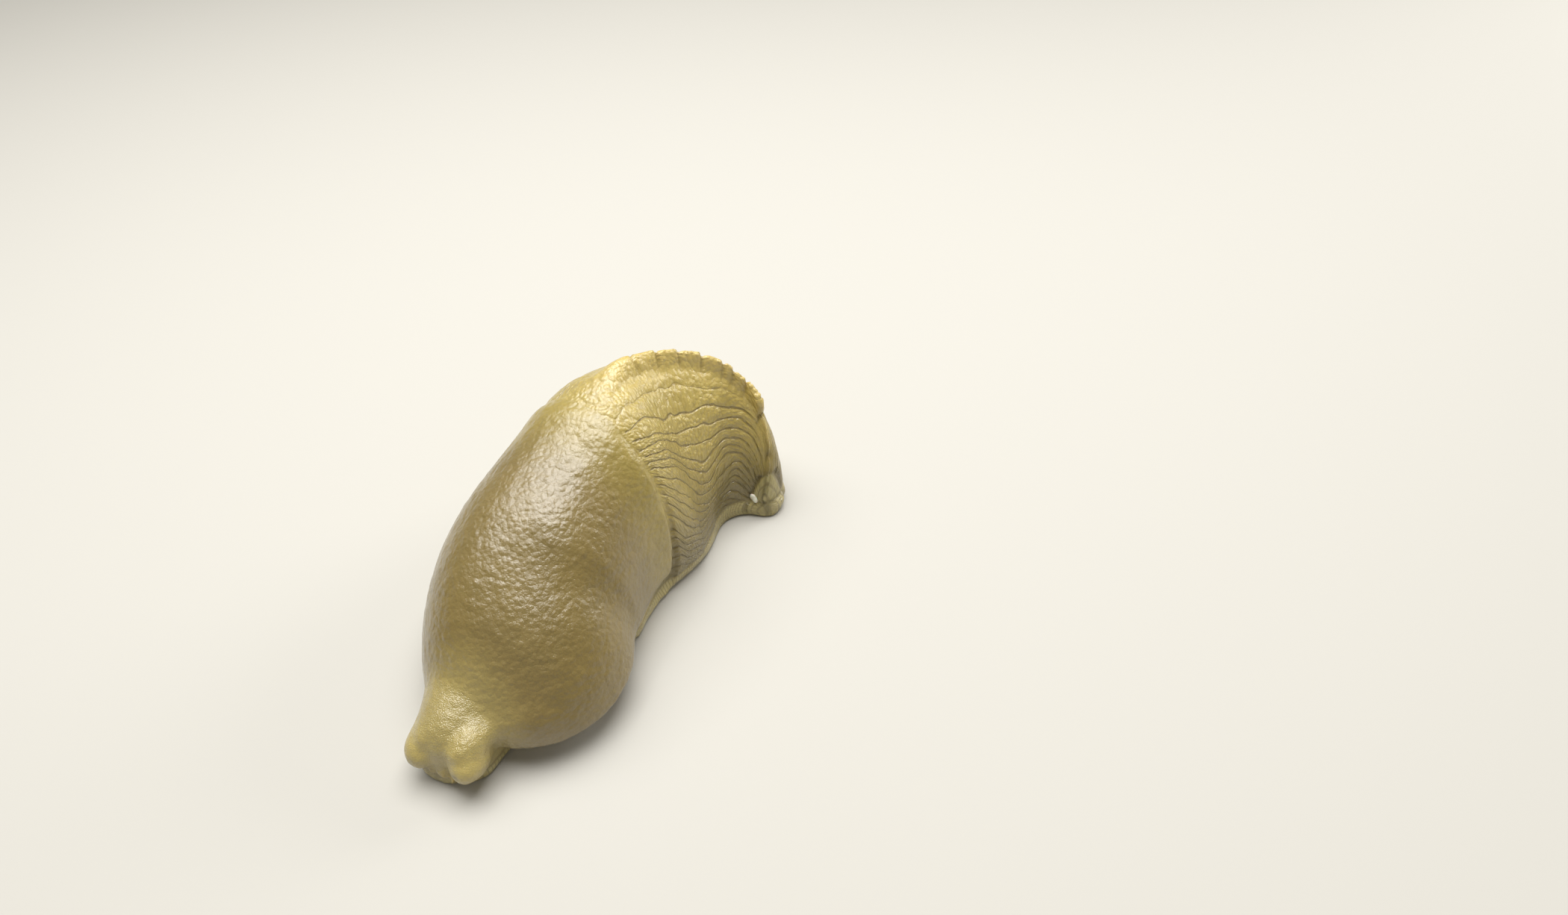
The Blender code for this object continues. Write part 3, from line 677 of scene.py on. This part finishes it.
def level(side, height, half, high, power):
    """1 on a section's outline, less inside it."""
    half, high = np.maximum(half, LEAST_SIZE), np.maximum(high, LEAST_SIZE)
    return ((np.abs(side) / half) ** power + (np.maximum(height, 0) / high) ** power) ** (1 / power)


def angle_of(side, height, half, high, power):
    """The angle off the top of its section at which a point lies."""
    across = (np.abs(side) / np.maximum(half, LEAST_SIZE)) ** (power / 2)
    up = (np.maximum(height, 0) / np.maximum(high, LEAST_SIZE)) ** (power / 2)
    return np.sign(side) * np.arctan2(across, up)


points = read_points(skin)
z = points[:, 2]
reach = BODY_REACH * body_size(BODY[0])[0] + BODY_REACH_MORE
body_at, body_side = along_line(BODY, points, reach)
neck_at = along_line(NECK, points, NECK_REACH)[0]
half, high = body_size(body_at)
power = body_power(body_at)
upright = body_side - lean(body_at, np.clip(z / high, 0.0, 1.0))
angle = angle_of(upright, z, half, high, power)
print("points lie %.1f to %.1f mm along the body" % (body_at.min(), body_at.max()))

# %% [markdown]
# The mantle's share of each point fades over half a millimetre at its rear edge, at its lower
# edge and where the skin dips under it. What lies ahead of it is head and neck.

# %% Mantle and head
MANTLE_BLUR = 0.5
EDGE_BLUR_BELOW = 0.3
UNDER_MANTLE_FROM = 0.35
HEAD_FROM, HEAD_BLUR = 5.0, 6.0

edge = edge_height(body_at)
lowest = angle_at(np.minimum(edge, MANTLE_EDGE_MOST * high), high, power)
across = np.clip(angle / np.maximum(lowest, LEAST_SIZE), -1, 1)
mantle_end = rear_edge(across)
proud_level = level(upright, z, half + MANTLE_PROUD, high + MANTLE_PROUD, power)
outside = (proud_level - 1) * half
on_mantle = fade_in(mantle_end - body_at, -MANTLE_BLUR / 2, MANTLE_BLUR)
on_mantle = on_mantle * fade_in(z - edge, -EDGE_BLUR_BELOW, MANTLE_BLUR)
on_mantle = on_mantle * (1 - fade_in(outside, UNDER_MANTLE_FROM, MANTLE_BLUR))
on_mantle = on_mantle * (body_at > HOOD_FRONT_AT - 0.2)
on_head = (1 - fade_in(body_at, HEAD_FROM, HEAD_BLUR)) * (1 - on_mantle)
print("mantle share %.2f, head share %.2f" % (on_mantle.mean(), on_head.mean()))

# %% [markdown]
# Dark grooves run from the rear of the mantle to the tail, about two millimetres apart as a
# rule. Where the body bends they sag, then climb and gather at the tail's end. A few of them
# are given here as angles off the top at stations along the body, and the rest follow in
# between. Low on the flank they lie twice as close.

# %% The grooves as numbered lines
LINES = (
    (0, (44, 86), (0, 0)),
    (3, (44, 52.5, 59, 65, 70.7, 73.5, 76.3, 80, 86), (22, 29, 31.5, 30.5, 28.5, 26, 20, 12, 8)),
    (4, (44, 49.6, 53.9, 60.3, 65, 70, 74.2, 76.6, 78.8, 86),
        (27, 34, 36.5, 37.3, 37, 35.6, 30, 25.6, 20, 12)),
    (5, (44, 49.4, 54.6, 62.9, 66, 70, 71.7, 73.6, 76.3, 79.4, 86),
        (32, 37.3, 39.4, 41.3, 42.4, 41.8, 40, 36, 31.4, 24.8, 15)),
    (6, (44, 50, 56.6, 61.6, 64.7, 67.6, 69.7, 71.9, 74.1, 77.8, 81.7, 86),
        (36, 41.8, 44.2, 46, 47.8, 49, 47.8, 45, 40.2, 34.6, 28.5, 19)),
    (7, (44, 49, 52.2, 58.5, 63.3, 65.8, 68.7, 71.5, 72.8, 75.7, 79.5, 86),
        (41, 47, 49, 50.2, 54, 55.5, 55.8, 53.5, 50.8, 44.2, 39, 32)),
    (8, (44, 47.8, 52.2, 60.8, 68.1, 71.4, 74.6, 75.9, 76.8, 78.1, 80.3, 86),
        (47, 54.8, 61.2, 61.2, 63.8, 63.5, 61, 57, 52.5, 49.5, 48.2, 47)),
    (9, (44, 45.7, 48.1, 50.7, 60.2, 67.5, 72.1, 75.3, 76.7, 78.2, 86),
        (55, 59.2, 66.2, 69, 67.5, 67.2, 66.5, 64.5, 60.5, 56.8, 54)),
    (10, (44, 46.8, 50.4, 62.8, 76, 86), (67.5, 73.8, 74.2, 71, 70, 62)),
    (13, (44, 86), (89, 89)),
)
FAR_SIDE_ANGLE = 7.0
DENSE_FROM = 6.0
LEAST_DEGREES = 0.5


def line_number(at, angle):
    """The number of the groove that passes here, with fractions in between."""
    degrees = np.degrees(np.abs(angle))
    numbers = [number for number, stations, angles in LINES]
    rows = [through(stations, angles, at) for number, stations, angles in LINES]
    rows = [np.where(angle > 0, row, number * FAR_SIDE_ANGLE) for number, row in zip(numbers, rows)]
    found = np.full(len(at), float(numbers[-1]))
    for k in range(len(numbers) - 2, -1, -1):
        share = np.maximum(degrees - rows[k], 0) / np.maximum(rows[k + 1] - rows[k], LEAST_DEGREES)
        between = numbers[k] + share * (numbers[k + 1] - numbers[k])
        found = np.where(degrees < rows[k + 1], between, found)
    return found + np.maximum(found - DENSE_FROM, 0)


# %% [markdown]
# Real grooves wander a little, so soft noise of three sizes shifts the numbers. How fast the
# number changes over the skin tells how far apart the grooves are at each point.

# %% Wandering grooves and their spacing
WIGGLE_SLOW, WIGGLE_QUICK, WIGGLE_FINE = 0.16, 0.12, 0.05
NOISE_GAIN = 1.6
STEP_ALONG, STEP_ROUND = 0.5, 0.02
GAP_RANGE = (0.3, 6.0)


def wander(places, size, seed):
    """Smooth noise, mostly from -1 to 1, at each place, with bumps of this size in mm."""
    found = [noise.noise((x / size + seed, y / size, h / size)) for x, y, h in places]
    return np.array(found) * NOISE_GAIN


slow = wander(points, 9.0, 3.0)
quick = wander(points, 2.6, 11.0)
fine = wander(points, 1.3, 23.0)
wiggle = WIGGLE_SLOW * slow + WIGGLE_QUICK * quick + WIGGLE_FINE * fine
number = line_number(body_at, angle) + wiggle
ahead = line_number(body_at + STEP_ALONG, angle) + wiggle
lower = line_number(body_at, angle + np.sign(angle) * STEP_ROUND) + wiggle
stride = np.hypot(half * np.cos(angle), high * np.sin(angle)) * STEP_ROUND
steep = np.hypot((ahead - number) / STEP_ALONG, (lower - number) / np.maximum(stride, 0.02))
gap = np.clip(1 / np.maximum(steep, 0.05), *GAP_RANGE)
print("grooves: middle gap %.2f mm" % np.median(gap[on_mantle < 0.1]))

# %% [markdown]
# The skin will move along its own normals, mostly by tenths of a millimetre. First come the
# forms of the back and foot: soft swellings between the grooves, a bead along the keel with
# a crease at each fold, one flap that stands out near the tail, and a furrow above the skirt.

# %% Swellings, keel and furrow
BACK_FROM = 36.0
NECK_TO_BODY_AT, NECK_TO_BODY_OVER = 17.0, 8.0
NECK_JOIN_BEFORE, NECK_JOIN_OVER = 7.0, 5.0
SWELLING, SWELLING_ROUND = 0.12, 2.5
KEEL_SIDE, KEEL_SIDE_FADE = 0.2, 0.14
CROWDED_GAP, CROWDED_FADE = 0.5, 0.6
CREASE_DEPTH, CREASE_WIDTH, CREASE_BEHIND = 0.5, 0.24, 0.15
CREASE_ANGLE, CREASE_FADE = 0.1, 0.22
FLAP_START, FLAP_END, FLAP_LIFT = 74.8, 78.35, 0.9
FLAP_ANGLE, FLAP_SWELL = 0.22, 1.5
BEAD_LIFT, BEAD_WIDTH, BEAD_UNDER, BEAD_UNDER_WIDTH = 0.28, 0.1, 0.2, 0.06
BEAD_FROM, BEAD_FADE = 47.0, 6.0
FURROW_ABOVE, FURROW_WIDTH, FURROW_DEPTH = 0.15, 0.3, 0.2
TAIL_SLIT_AT, TAIL_SLIT_WIDTH, TAIL_SLIT_DEEPER = 82.0, 0.35, 2.0
TAIL_SLIT_LOW, TAIL_SLIT_HIGH, FURROW_LOW = 1.0, 10.0, 0.8

off_top = np.abs(angle)
behind = fade_in(body_at, mantle_end + 0.2, 0.6)
from_neck = np.maximum(
    fade_in(body_at, NECK_TO_BODY_AT, NECK_TO_BODY_OVER),
    fade_in(neck_at, NECK_END - NECK_JOIN_BEFORE, NECK_JOIN_OVER),
)
neck_foot = foot_height(NECK, np.clip(neck_at, 0, None))
foot_top = neck_foot + (foot_height(BODY, body_at) - neck_foot) * from_neck
above_foot = fade_in(z, foot_top, 0.6)
on_back = behind * (1 - on_mantle) * above_foot * (body_at > BACK_FROM)

off = np.abs(number - np.round(number))
spaced = fade_in(gap, CROWDED_GAP, CROWDED_FADE)
groove = on_back * fade_in(off_top, KEEL_SIDE, KEEL_SIDE_FADE) * spaced
swelling = SWELLING * (1 - (1 - 2 * off) ** SWELLING_ROUND) * groove

to_folds = [np.abs(body_at - fold_end - CREASE_BEHIND) for fold_end in KEEL_FOLDS[1:-1]]
crease = hill(np.min(to_folds, axis=0), 0.0, CREASE_WIDTH)
crease = crease * (1 - fade_in(off_top, CREASE_ANGLE, CREASE_FADE)) * on_back
flap = np.clip((body_at - FLAP_START) / (FLAP_END - FLAP_START), 0, 1) ** FLAP_SWELL
flap = flap * (body_at < FLAP_END) * hill(angle, 0.0, FLAP_ANGLE) * on_back
bead = hill(angle, 0.0, BEAD_WIDTH) - hill(off_top, BEAD_UNDER, BEAD_UNDER_WIDTH)
bead = BEAD_LIFT * bead * on_back * fade_in(body_at, BEAD_FROM, BEAD_FADE)

in_slit = (z > TAIL_SLIT_LOW) & (z < TAIL_SLIT_HIGH)
tail_slit = hill(body_at, TAIL_SLIT_AT, TAIL_SLIT_WIDTH) * in_slit
furrow = hill(z, foot_top + FURROW_ABOVE, FURROW_WIDTH) * (z > FURROW_LOW)
furrow = np.maximum(furrow, TAIL_SLIT_DEEPER * tail_slit)
print("%.0f %% of the points lie on the grooved back" % (100 * (on_back > 0.5).mean()))

# %% [markdown]
# The breathing pore is a small pit with a raised rim in the mantle's right side. The eyes
# are drawn in at the tips of the upper tentacles, which leaves a shallow pit in each.

# %% Breathing pore and eye pits
PORE_AT, PORE_ANGLE = 28.2, -66.0
PORE_RADII = (0.9, 1.5)
PORE_PROUD, PORE_DEPTH, PORE_EDGE = 0.4, 1.0, 1.3
PORE_RIM_AT, PORE_RIM_WIDTH, PORE_RIM_LIFT = 1.7, 0.5, 0.15
PORE_AREA = 6.0
EYE_PIT, EYE_DEPTH, EYE_RAISED = 0.55, 0.35, 0.3

half_pore, high_pore = body_size(PORE_AT)
side_pore, up_pore = section(math.radians(PORE_ANGLE), float(body_power(PORE_AT)))
side_pore, up_pore = (half_pore + PORE_PROUD) * side_pore, (high_pore + PORE_PROUD) * up_pore
to_pore = points - place(BODY, PORE_AT, side_pore, up_pore)
in_area = np.abs(to_pore).max(1) < PORE_AREA
along_pore = (body_at - PORE_AT) / PORE_RADII[1]
across_pore = np.sqrt(np.maximum((to_pore**2).sum(1) - (body_at - PORE_AT) ** 2, 0)) / PORE_RADII[0]
pore_pit = np.exp(-((along_pore**2 + across_pore**2) ** PORE_EDGE)) * in_area
pore_rim = hill(np.hypot(along_pore, across_pore), PORE_RIM_AT, PORE_RIM_WIDTH) * in_area


def tips_share(front, raised, size):
    """1 at the tips of the two upper tentacles, falling to 0 around them."""
    share = np.zeros(len(points))
    for mirror in (-1, 1):
        tip = face(front, mirror * UPPER_TENTACLE["side"], UPPER_TENTACLE["height"] + raised)
        share = np.maximum(share, hill(np.linalg.norm(points - tip, axis=1), 0.0, size))
    return share


eye = tips_share(UPPER_TENTACLE["front"] - UPPER_TENTACLE["radius"], EYE_RAISED, EYE_PIT)
print("pore: %d points, eye pits: %d points" % ((pore_pit > 0.1).sum(), (eye > 0.1).sum()))

# %% [markdown]
# All the forms are added up, with soft noise so that no part is too even, and the skin is
# moved. The sole stays flat on the floor.

# %% Moving the skin
MANTLE_NOISE = (0.09, 0.04, 0.05)
BACK_NOISE = (0.05, 0.04)
SKIN_SUNK = 0.1
STILL_BELOW, STILL_FADE = 0.3, 0.8

normals = np.empty(len(points) * 3, np.float32)
skin.data.vertices.foreach_get("normal", normals)
normals = normals.reshape(-1, 3).astype(float)
lift = swelling + FLAP_LIFT * flap + bead
lift = lift - SWELLING * groove - CREASE_DEPTH * crease - FURROW_DEPTH * furrow
uneven_mantle = MANTLE_NOISE[0] * slow + MANTLE_NOISE[1] * quick + MANTLE_NOISE[2] * fine
uneven_back = BACK_NOISE[0] * quick + BACK_NOISE[1] * fine
lift = lift + uneven_mantle * on_mantle + uneven_back * (1 - on_mantle) - SKIN_SUNK
lift = lift - PORE_DEPTH * pore_pit + PORE_RIM_LIFT * pore_rim - EYE_DEPTH * eye
points = points + normals * (lift * fade_in(z, STILL_BELOW, STILL_FADE))[:, None]
points[:, 2] = np.maximum(points[:, 2], 0.0)
skin.data.vertices.foreach_set("co", (points * MM).ravel())
skin.data.update()
print("moved by %.2f to %.2f mm" % (lift.min(), lift.max()))

# %% [markdown]
# What each point is goes onto the skin as attributes, so that the material can colour by
# them. The number of the groove and the distance between grooves let the material draw each
# groove as a line much thinner than the mesh. The skirt's cross lines work the same way.

# %% Attributes for the material
SKIRT_LINE_GAP = 0.8
SKIRT_WANDER = 0.3
LOBE_REACH = 3.4
TINT_FADE = 14.0
HOOD_TINT_FROM, HOOD_FADE = 7.0, 9.0
KEEL_TINT_ANGLE, KEEL_TINT_FROM, FLANK_SHADE_FROM, FROM_FADE = 0.26, 46.0, 30.0, 8.0
ROUND_HEAD_BEFORE, ROUND_HEAD_UP_TO = 2.0, 24.0
FURROW_SHADE, EYE_SHADE = 0.9, 1.2
FLANK_SHADE_TOP, FLANK_SHADE_FADE = 20.0, 14.0
FAINT_BELOW, FAINT = 2.6, 0.4
ROW_WIDTH = 2.6


def keep(name, values):
    data = skin.data.attributes.new(name, "FLOAT", "POINT")
    data.data.foreach_set("value", np.asarray(values, np.float32))


round_head = (neck_at < NECK_END - ROUND_HEAD_BEFORE) & (body_at < ROUND_HEAD_UP_TO)
skirt_at = np.where(round_head, neck_at, body_at)
on_skirt = 1 - fade_in(z, foot_top - 0.2, 0.4)
on_skirt = np.maximum(on_skirt, fade_in(body_at, TAIL_SLIT_AT + 0.2, 0.3) * (z < TAIL_SLIT_HIGH))
off_mantle = (1 - on_mantle) * above_foot
on_keel = hill(angle, 0.0, KEEL_TINT_ANGLE) * fade_in(body_at, KEEL_TINT_FROM, FROM_FADE)
# Painted shade: the low flank darkens toward the foot, where it lies in shade.
low_flank_painted_shade = fade_in(FLANK_SHADE_TOP - z, 0.0, FLANK_SHADE_FADE) * fade_in(body_at, FLANK_SHADE_FROM, FROM_FADE)
rear_fade = fade_in(mantle_end - body_at, 0.0, TINT_FADE)
hood_fade = fade_in(from_head_front(points), HOOD_TINT_FROM, HOOD_FADE)
keep("on_lobe", tips_share(UPPER_TENTACLE["front"], 0.0, LOBE_REACH))
keep("head_tint", 1 - hood_fade)
keep("mantle_tint", on_mantle * rear_fade * hood_fade)
keep("on_mantle", on_mantle)
keep("on_head", on_head)
keep("on_keel", on_keel * off_mantle)
keep("on_skirt", on_skirt)
keep("low_flank_painted_shade", low_flank_painted_shade * off_mantle)
# Painted shade in the keel's creases and in the breathing pore's pit.
keep("crease_and_pore_painted_shade", np.maximum(crease, pore_pit))
in_shade = FURROW_SHADE * np.maximum(furrow, tail_slit) + EYE_SHADE * eye
keep("in_shade", np.clip(in_shade, 0, 1))
keep("groove_number", number)
keep("groove_gap", gap)
keep("groove_shown", groove * np.where(number < FAINT_BELOW, FAINT, 1.0))
keep("skirt_number", skirt_at / SKIRT_LINE_GAP + SKIRT_WANDER * quick)
flow = skin.data.attributes.new("flow", "FLOAT_VECTOR", "POINT")
along_flow = np.stack([body_at, number * ROW_WIDTH, 0 * number], 1)
flow.data.foreach_set("vector", along_flow.astype(np.float32).ravel())
print(len(skin.data.attributes), "attributes on the skin")

# %% [markdown]
# The skin stands for every solid, so it replaces them all and rides on the one still body.

# %% The skin takes the solids' place
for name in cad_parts:
    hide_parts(name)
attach(skin, "root")


def shade_smooth(piece):
    deselect()
    piece.select_set(True)
    bpy.context.view_layer.objects.active = piece
    bpy.ops.object.shade_smooth()


shade_smooth(skin)
print("one skin replaces %d nodes" % len(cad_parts))

# %% [markdown]
# Slug skin is wet, soft and slightly see-through. Its colour is olive tan, darker in the
# grooves, ochre on the keel and pale on the skirt. Slime over it gives a thin, glossy coat,
# and the fine grains of the skin break that shine into small sparks.


# %% Small helpers for materials
def srgb(hexadecimal):
    """A linear colour from an sRGB hex value."""
    parts = [int(hexadecimal[k : k + 2], 16) / 255 for k in (0, 2, 4)]
    linear = [c / 12.92 if c <= 0.04045 else ((c + 0.055) / 1.055) ** 2.4 for c in parts]
    return (*linear, 1.0)


def fill(node, values):
    """Sets or links the inputs of a node by name or number. A text is a hex colour."""
    for key, value in values.items():
        if isinstance(value, bpy.types.NodeSocket):
            material.node_tree.links.new(value, node.inputs[key])
        else:
            node.inputs[key].default_value = srgb(value) if isinstance(value, str) else value


def add(kind, settings=None, inputs=None):
    """Adds a node, sets its properties, and sets or links its inputs."""
    node = material.node_tree.nodes.new(kind)
    for key, value in (settings or {}).items():
        setattr(node, key, value)
    fill(node, inputs or {})
    return node


def new_material(name):
    fresh = bpy.data.materials.new(name)
    fresh.use_nodes = True
    return fresh, fresh.node_tree.nodes["Principled BSDF"]


print("a mid tan in linear light:", srgb("b5a76c"))


# %% [markdown]
# Patterns are built from a few sums and mixes. A numbered line is drawn by how far the number
# is from a whole one, times the distance in millimetres between two lines.


# %% Small helpers for patterns
def fact(name):
    return add("ShaderNodeAttribute", {"attribute_name": name}).outputs["Fac"]


def sums(operation, first, second=0.0):
    return add("ShaderNodeMath", {"operation": operation}, {0: first, 1: second}).outputs[0]


def times(first, second):
    return sums("MULTIPLY", first, second)


def blend(share, under, over, mode="MIX"):
    """Mixes two colours, each a hex value or a colour from another node."""
    settings = {"data_type": "RGBA", "blend_type": mode}
    return add("ShaderNodeMix", settings, {0: share, 6: under, 7: over}).outputs[2]


def line_mask(number, gap, inner, outer):
    """1 on each whole number and 0 beyond a distance in mm, for numbered lines."""
    across = sums("SUBTRACT", sums("FRACT", sums("ADD", number, 0.5)), 0.5)
    distance = times(sums("ABSOLUTE", across), gap)
    limits = {"From Min": inner, "From Max": outer, "To Min": 1.0, "To Max": 0.0}
    ramp = {"interpolation_type": "SMOOTHSTEP"}
    return add("ShaderNodeMapRange", ramp, {"Value": distance, **limits}).outputs[0]


def grains(kind, vector, size_mm, **inputs):
    """A noise or cell pattern whose grains have this size, on metre coordinates."""
    return add(kind, None, {"Vector": vector, "Scale": 1 / (size_mm * MM), **inputs}).outputs[0]


# %% [markdown]
# The skin's colours are blended by its attributes. Soft noise over a few millimetres gives
# the uneven pigment, and cell patterns of a millimetre or less give the tubercles. On the
# back these lie in rows between the grooves and are paler on top.

# %% The patterns of the skin
PIGMENT_MM, MOTTLE_MM, TUBERCLE_MM, ROW_GRAIN_MM, SPECKLE_MM = 8.0, 1.6, 0.9, 0.75, 0.28
GROOVE_CORE, GROOVE_EDGE = 0.03, 0.23
STRIPE_CORE, STRIPE_EDGE = 0.04, 0.16

material, shader = new_material("moist_slug_skin")
where = add("ShaderNodeTexCoord").outputs["Object"]
along = add("ShaderNodeAttribute", {"attribute_name": "flow"}).outputs["Vector"]
along = add("ShaderNodeVectorMath", {"operation": "SCALE"}, {0: along, "Scale": MM}).outputs[0]
pigment = grains("ShaderNodeTexNoise", where, PIGMENT_MM, Detail=4.0)
mottle = grains("ShaderNodeTexNoise", where, MOTTLE_MM, Detail=3.0)
tubercle = grains("ShaderNodeTexVoronoi", where, TUBERCLE_MM)
row_grain = grains("ShaderNodeTexVoronoi", along, ROW_GRAIN_MM)
speckle = grains("ShaderNodeTexNoise", where, SPECKLE_MM, Detail=2.0)
smooth_part = sums("MAXIMUM", fact("on_mantle"), fact("on_head"))
line = line_mask(fact("groove_number"), fact("groove_gap"), GROOVE_CORE, GROOVE_EDGE)
line = times(line, fact("groove_shown"))
stripe = line_mask(fact("skirt_number"), SKIRT_LINE_GAP, STRIPE_CORE, STRIPE_EDGE)
stripe = times(stripe, fact("on_skirt"))
print(len(material.node_tree.nodes), "nodes for the patterns")

# %% [markdown]
# Each part has two shades of its own tan, mixed by the pigment noise. Over them come tints,
# each with a share that says where it lies and an amount that says how strong it is: pale
# tentacle tips, an ochre keel, painted shade on the low flanks, dark grooves and cross lines,
# and painted shade in the keel's creases, the pore's pit, the furrows and the eye pits.

# %% The colours of the skin
BACK_TAN = ("aa9547", "d6bf69")
PLAIN_TAN = ("92803a", "b7a253")
MANTLE_OLIVE = ("705e2a", "8d783f")

colour = blend(pigment, *BACK_TAN)
colour = blend(times(row_grain, 0.35), colour, "7d6a30")
colour = blend(smooth_part, colour, blend(pigment, *PLAIN_TAN))
colour = blend(fact("mantle_tint"), colour, blend(pigment, *MANTLE_OLIVE))
tints = (
    (fact("head_tint"), 0.6, "ab9b64"),
    (fact("on_lobe"), 0.85, "d9c26c"),
    (fact("on_keel"), 0.8, "e0c674"),
    (mottle, 0.3, "75642f"),
    (speckle, 0.25, "5f5228", "MULTIPLY"),
    # Painted shade on the low flank.
    (fact("low_flank_painted_shade"), 0.75, "62541f"),
    (line, 0.6, "66531f"),
    (fact("on_skirt"), 0.8, "b5a76c"),
    (stripe, 0.5, "75683a"),
    # Painted shade in the creases and the pore's pit.
    (fact("crease_and_pore_painted_shade"), 0.35, "8a7440"),
    (fact("in_shade"), 0.5, "5f5330"),
)
for share, amount, tint, *mode in tints:
    colour = blend(times(share, amount), colour, tint, *mode)
fill(shader, {"Base Color": colour})
print(len(tints), "tints over the tan")

# %% [markdown]
# The relief too fine for the mesh is a bump, with its heights in millimetres: tubercles of
# about a millimetre, small grains on them, and the floor of each groove. The coat of slime
# follows it, which breaks its highlights up. The head is less rough but has a finer grain,
# so its shine spreads into a soft patch.

# %% The fine relief
WAVE_MM, HEAD_GRAIN_MM = 0.9, 0.2
WAVE_HIGH, TUBERCLE_HIGH, ROWS_HIGHER = 0.14, 0.11, 1.8
GROOVE_DEEP, SPECKLE_HIGH = 0.14, 0.03
HEAD_CALMER, HEAD_GRAIN_HIGH = 0.35, 0.12

waves = grains("ShaderNodeTexNoise", where, WAVE_MM, Detail=4.0, Roughness=0.7)
cells = sums("SUBTRACT", 1.0, tubercle)
rows = times(sums("SUBTRACT", 1.0, row_grain), ROWS_HIGHER)
tubercles = add("ShaderNodeMix", None, {0: smooth_part, 2: rows, 3: cells}).outputs[0]
relief = sums("ADD", times(waves, WAVE_HIGH), times(tubercles, TUBERCLE_HIGH))
relief = sums("SUBTRACT", relief, times(line, GROOVE_DEEP))
relief = sums("ADD", relief, times(speckle, SPECKLE_HIGH))
relief = times(relief, sums("SUBTRACT", 1.0, times(fact("on_head"), HEAD_CALMER)))
head_grain = grains("ShaderNodeTexNoise", where, HEAD_GRAIN_MM, Detail=1.0)
relief = sums("ADD", relief, times(times(head_grain, fact("on_head")), HEAD_GRAIN_HIGH))
bump = add("ShaderNodeBump", None, {"Strength": 1.0, "Distance": MM, "Height": relief}).outputs[0]
print(len(material.node_tree.nodes), "nodes with the relief")

# %% [markdown]
# Flesh lets a little light through and scatters it warmly. The slime is a clear coat over
# it, equally wet all over, and a little rough.

# %% Wet flesh
WET_FLESH = {
    "Roughness": 0.5,
    "IOR": 1.4,
    "Subsurface Weight": 0.12,
    "Subsurface Radius": (1.0, 0.6, 0.25),
    "Subsurface Scale": 1.0 * MM,
    "Coat Weight": 1.0,
    "Coat Roughness": 0.21,
    "Coat IOR": 1.6,
}
fill(shader, {"Normal": bump, "Coat Normal": bump, **WET_FLESH})
skin.data.materials.clear()
skin.data.materials.append(material)
print("material of the skin:", skin.data.materials[0].name)

# %% [markdown]
# A drop of white slime sits in the pit above the tail tip. It is a small ball, drawn out
# and pushed about so that it isn't round, and sunk a little into the skin.

# %% The slime drop
DROP_AT, DROP_SIDE, DROP_HEIGHT = 82.3, 2.6, 4.7
DROP_RADII, DROP_TURN = (0.75, 0.6, 0.95), 0.6
DROP_BUMPS, DROP_SEED, DROP_UNEVEN = 0.9, 5.0, 0.35
SLIME = {"Roughness": 0.12, "Subsurface Weight": 0.3, "Subsurface Scale": 0.5 * MM}

centre = place(BODY, DROP_AT, DROP_SIDE, DROP_HEIGHT)
drop = ball("slime_drop", centre, DROP_RADII, DROP_TURN, 32)
smooth_drop = read_points(drop)
push = wander(smooth_drop, DROP_BUMPS, DROP_SEED)[:, None] * DROP_UNEVEN
uneven = (smooth_drop - centre) * push
drop.data.vertices.foreach_set("co", ((smooth_drop + uneven) * MM).ravel())
drop.data.update()
shade_smooth(drop)
material, shader = new_material("slime")
cloudy = grains("ShaderNodeTexNoise", add("ShaderNodeTexCoord").outputs["Object"], 0.6)
fill(shader, {"Base Color": blend(cloudy, "c9c5ad", "efece0"), **SLIME})
drop.data.materials.append(material)
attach(drop, "root")
print("slime drop: %d faces, uneven by up to %.2f mm" % (len(drop.data.polygons), abs(uneven).max()))

# %% [markdown]
# A plain pale floor and a soft studio: one broad light overhead, weaker ones around it and
# a pale surround.

# %% Floor and light
FLOOR_WIDE = 4.0
LIGHT_TARGET = (0.0, 0.0, 0.02)
LIGHTS = (
    ("key", (0.03, 0.1, 0.55), 0.42, 4.3),
    ("glare", (-0.22, 0.12, 0.42), 0.26, 0.9),
    ("front", (-0.1, -0.45, 0.3), 0.7, 0.2),
    ("rear", (0.5, 0.33, 0.27), 0.27, 1.4),
)
SURROUND, SURROUND_STRENGTH = "f2eee2", 0.25

deselect()
bpy.ops.mesh.primitive_plane_add(size=FLOOR_WIDE)
floor = bpy.context.object
floor.name = "studio_floor"
material, shader = new_material("pale_floor")
fill(shader, {"Base Color": "bcb9b1", "Roughness": 0.9})
floor.data.materials.append(material)


def area_light(name, place_m, size, power):
    deselect()
    bpy.ops.object.light_add(type="AREA", location=place_m)
    light = bpy.context.object
    light.name = name
    light.data.size = size
    light.data.energy = power
    from_target = np.array(place_m) - np.array(LIGHT_TARGET)
    flat = math.hypot(from_target[0], from_target[1])
    tilt = math.atan2(flat, from_target[2])
    light.rotation_euler = (tilt, 0.0, math.atan2(from_target[0], -from_target[1]))


for light in LIGHTS:
    area_light(*light)
world = bpy.data.worlds.new("studio")
world.use_nodes = True
background = world.node_tree.nodes["Background"]
background.inputs[0].default_value = srgb(SURROUND)
background.inputs[1].default_value = SURROUND_STRENGTH
bpy.context.scene.world = world
print(len(LIGHTS), "lights")

# %% [markdown]
# The camera looks down at 45 degrees from close by, as in the photo, so that the head looks
# large and the tail small.

# %% Camera
CAMERA_PLACE = (30.335, -105.807, 141.2)
CAMERA_DOWN = 45.0
CAMERA_LENS, CAMERA_SENSOR = 21.53, 36.0

bpy.ops.object.camera_add(location=[value * MM for value in CAMERA_PLACE])
camera = bpy.context.object
camera.rotation_euler = (math.radians(90 - CAMERA_DOWN), 0.0, 0.0)
camera.data.lens = CAMERA_LENS
camera.data.sensor_width = CAMERA_SENSOR
camera.data.clip_start = MM
bpy.context.scene.camera = camera
bpy.context.scene.view_settings.view_transform = "Standard"
print("camera %.0f mm above the floor" % CAMERA_PLACE[2])
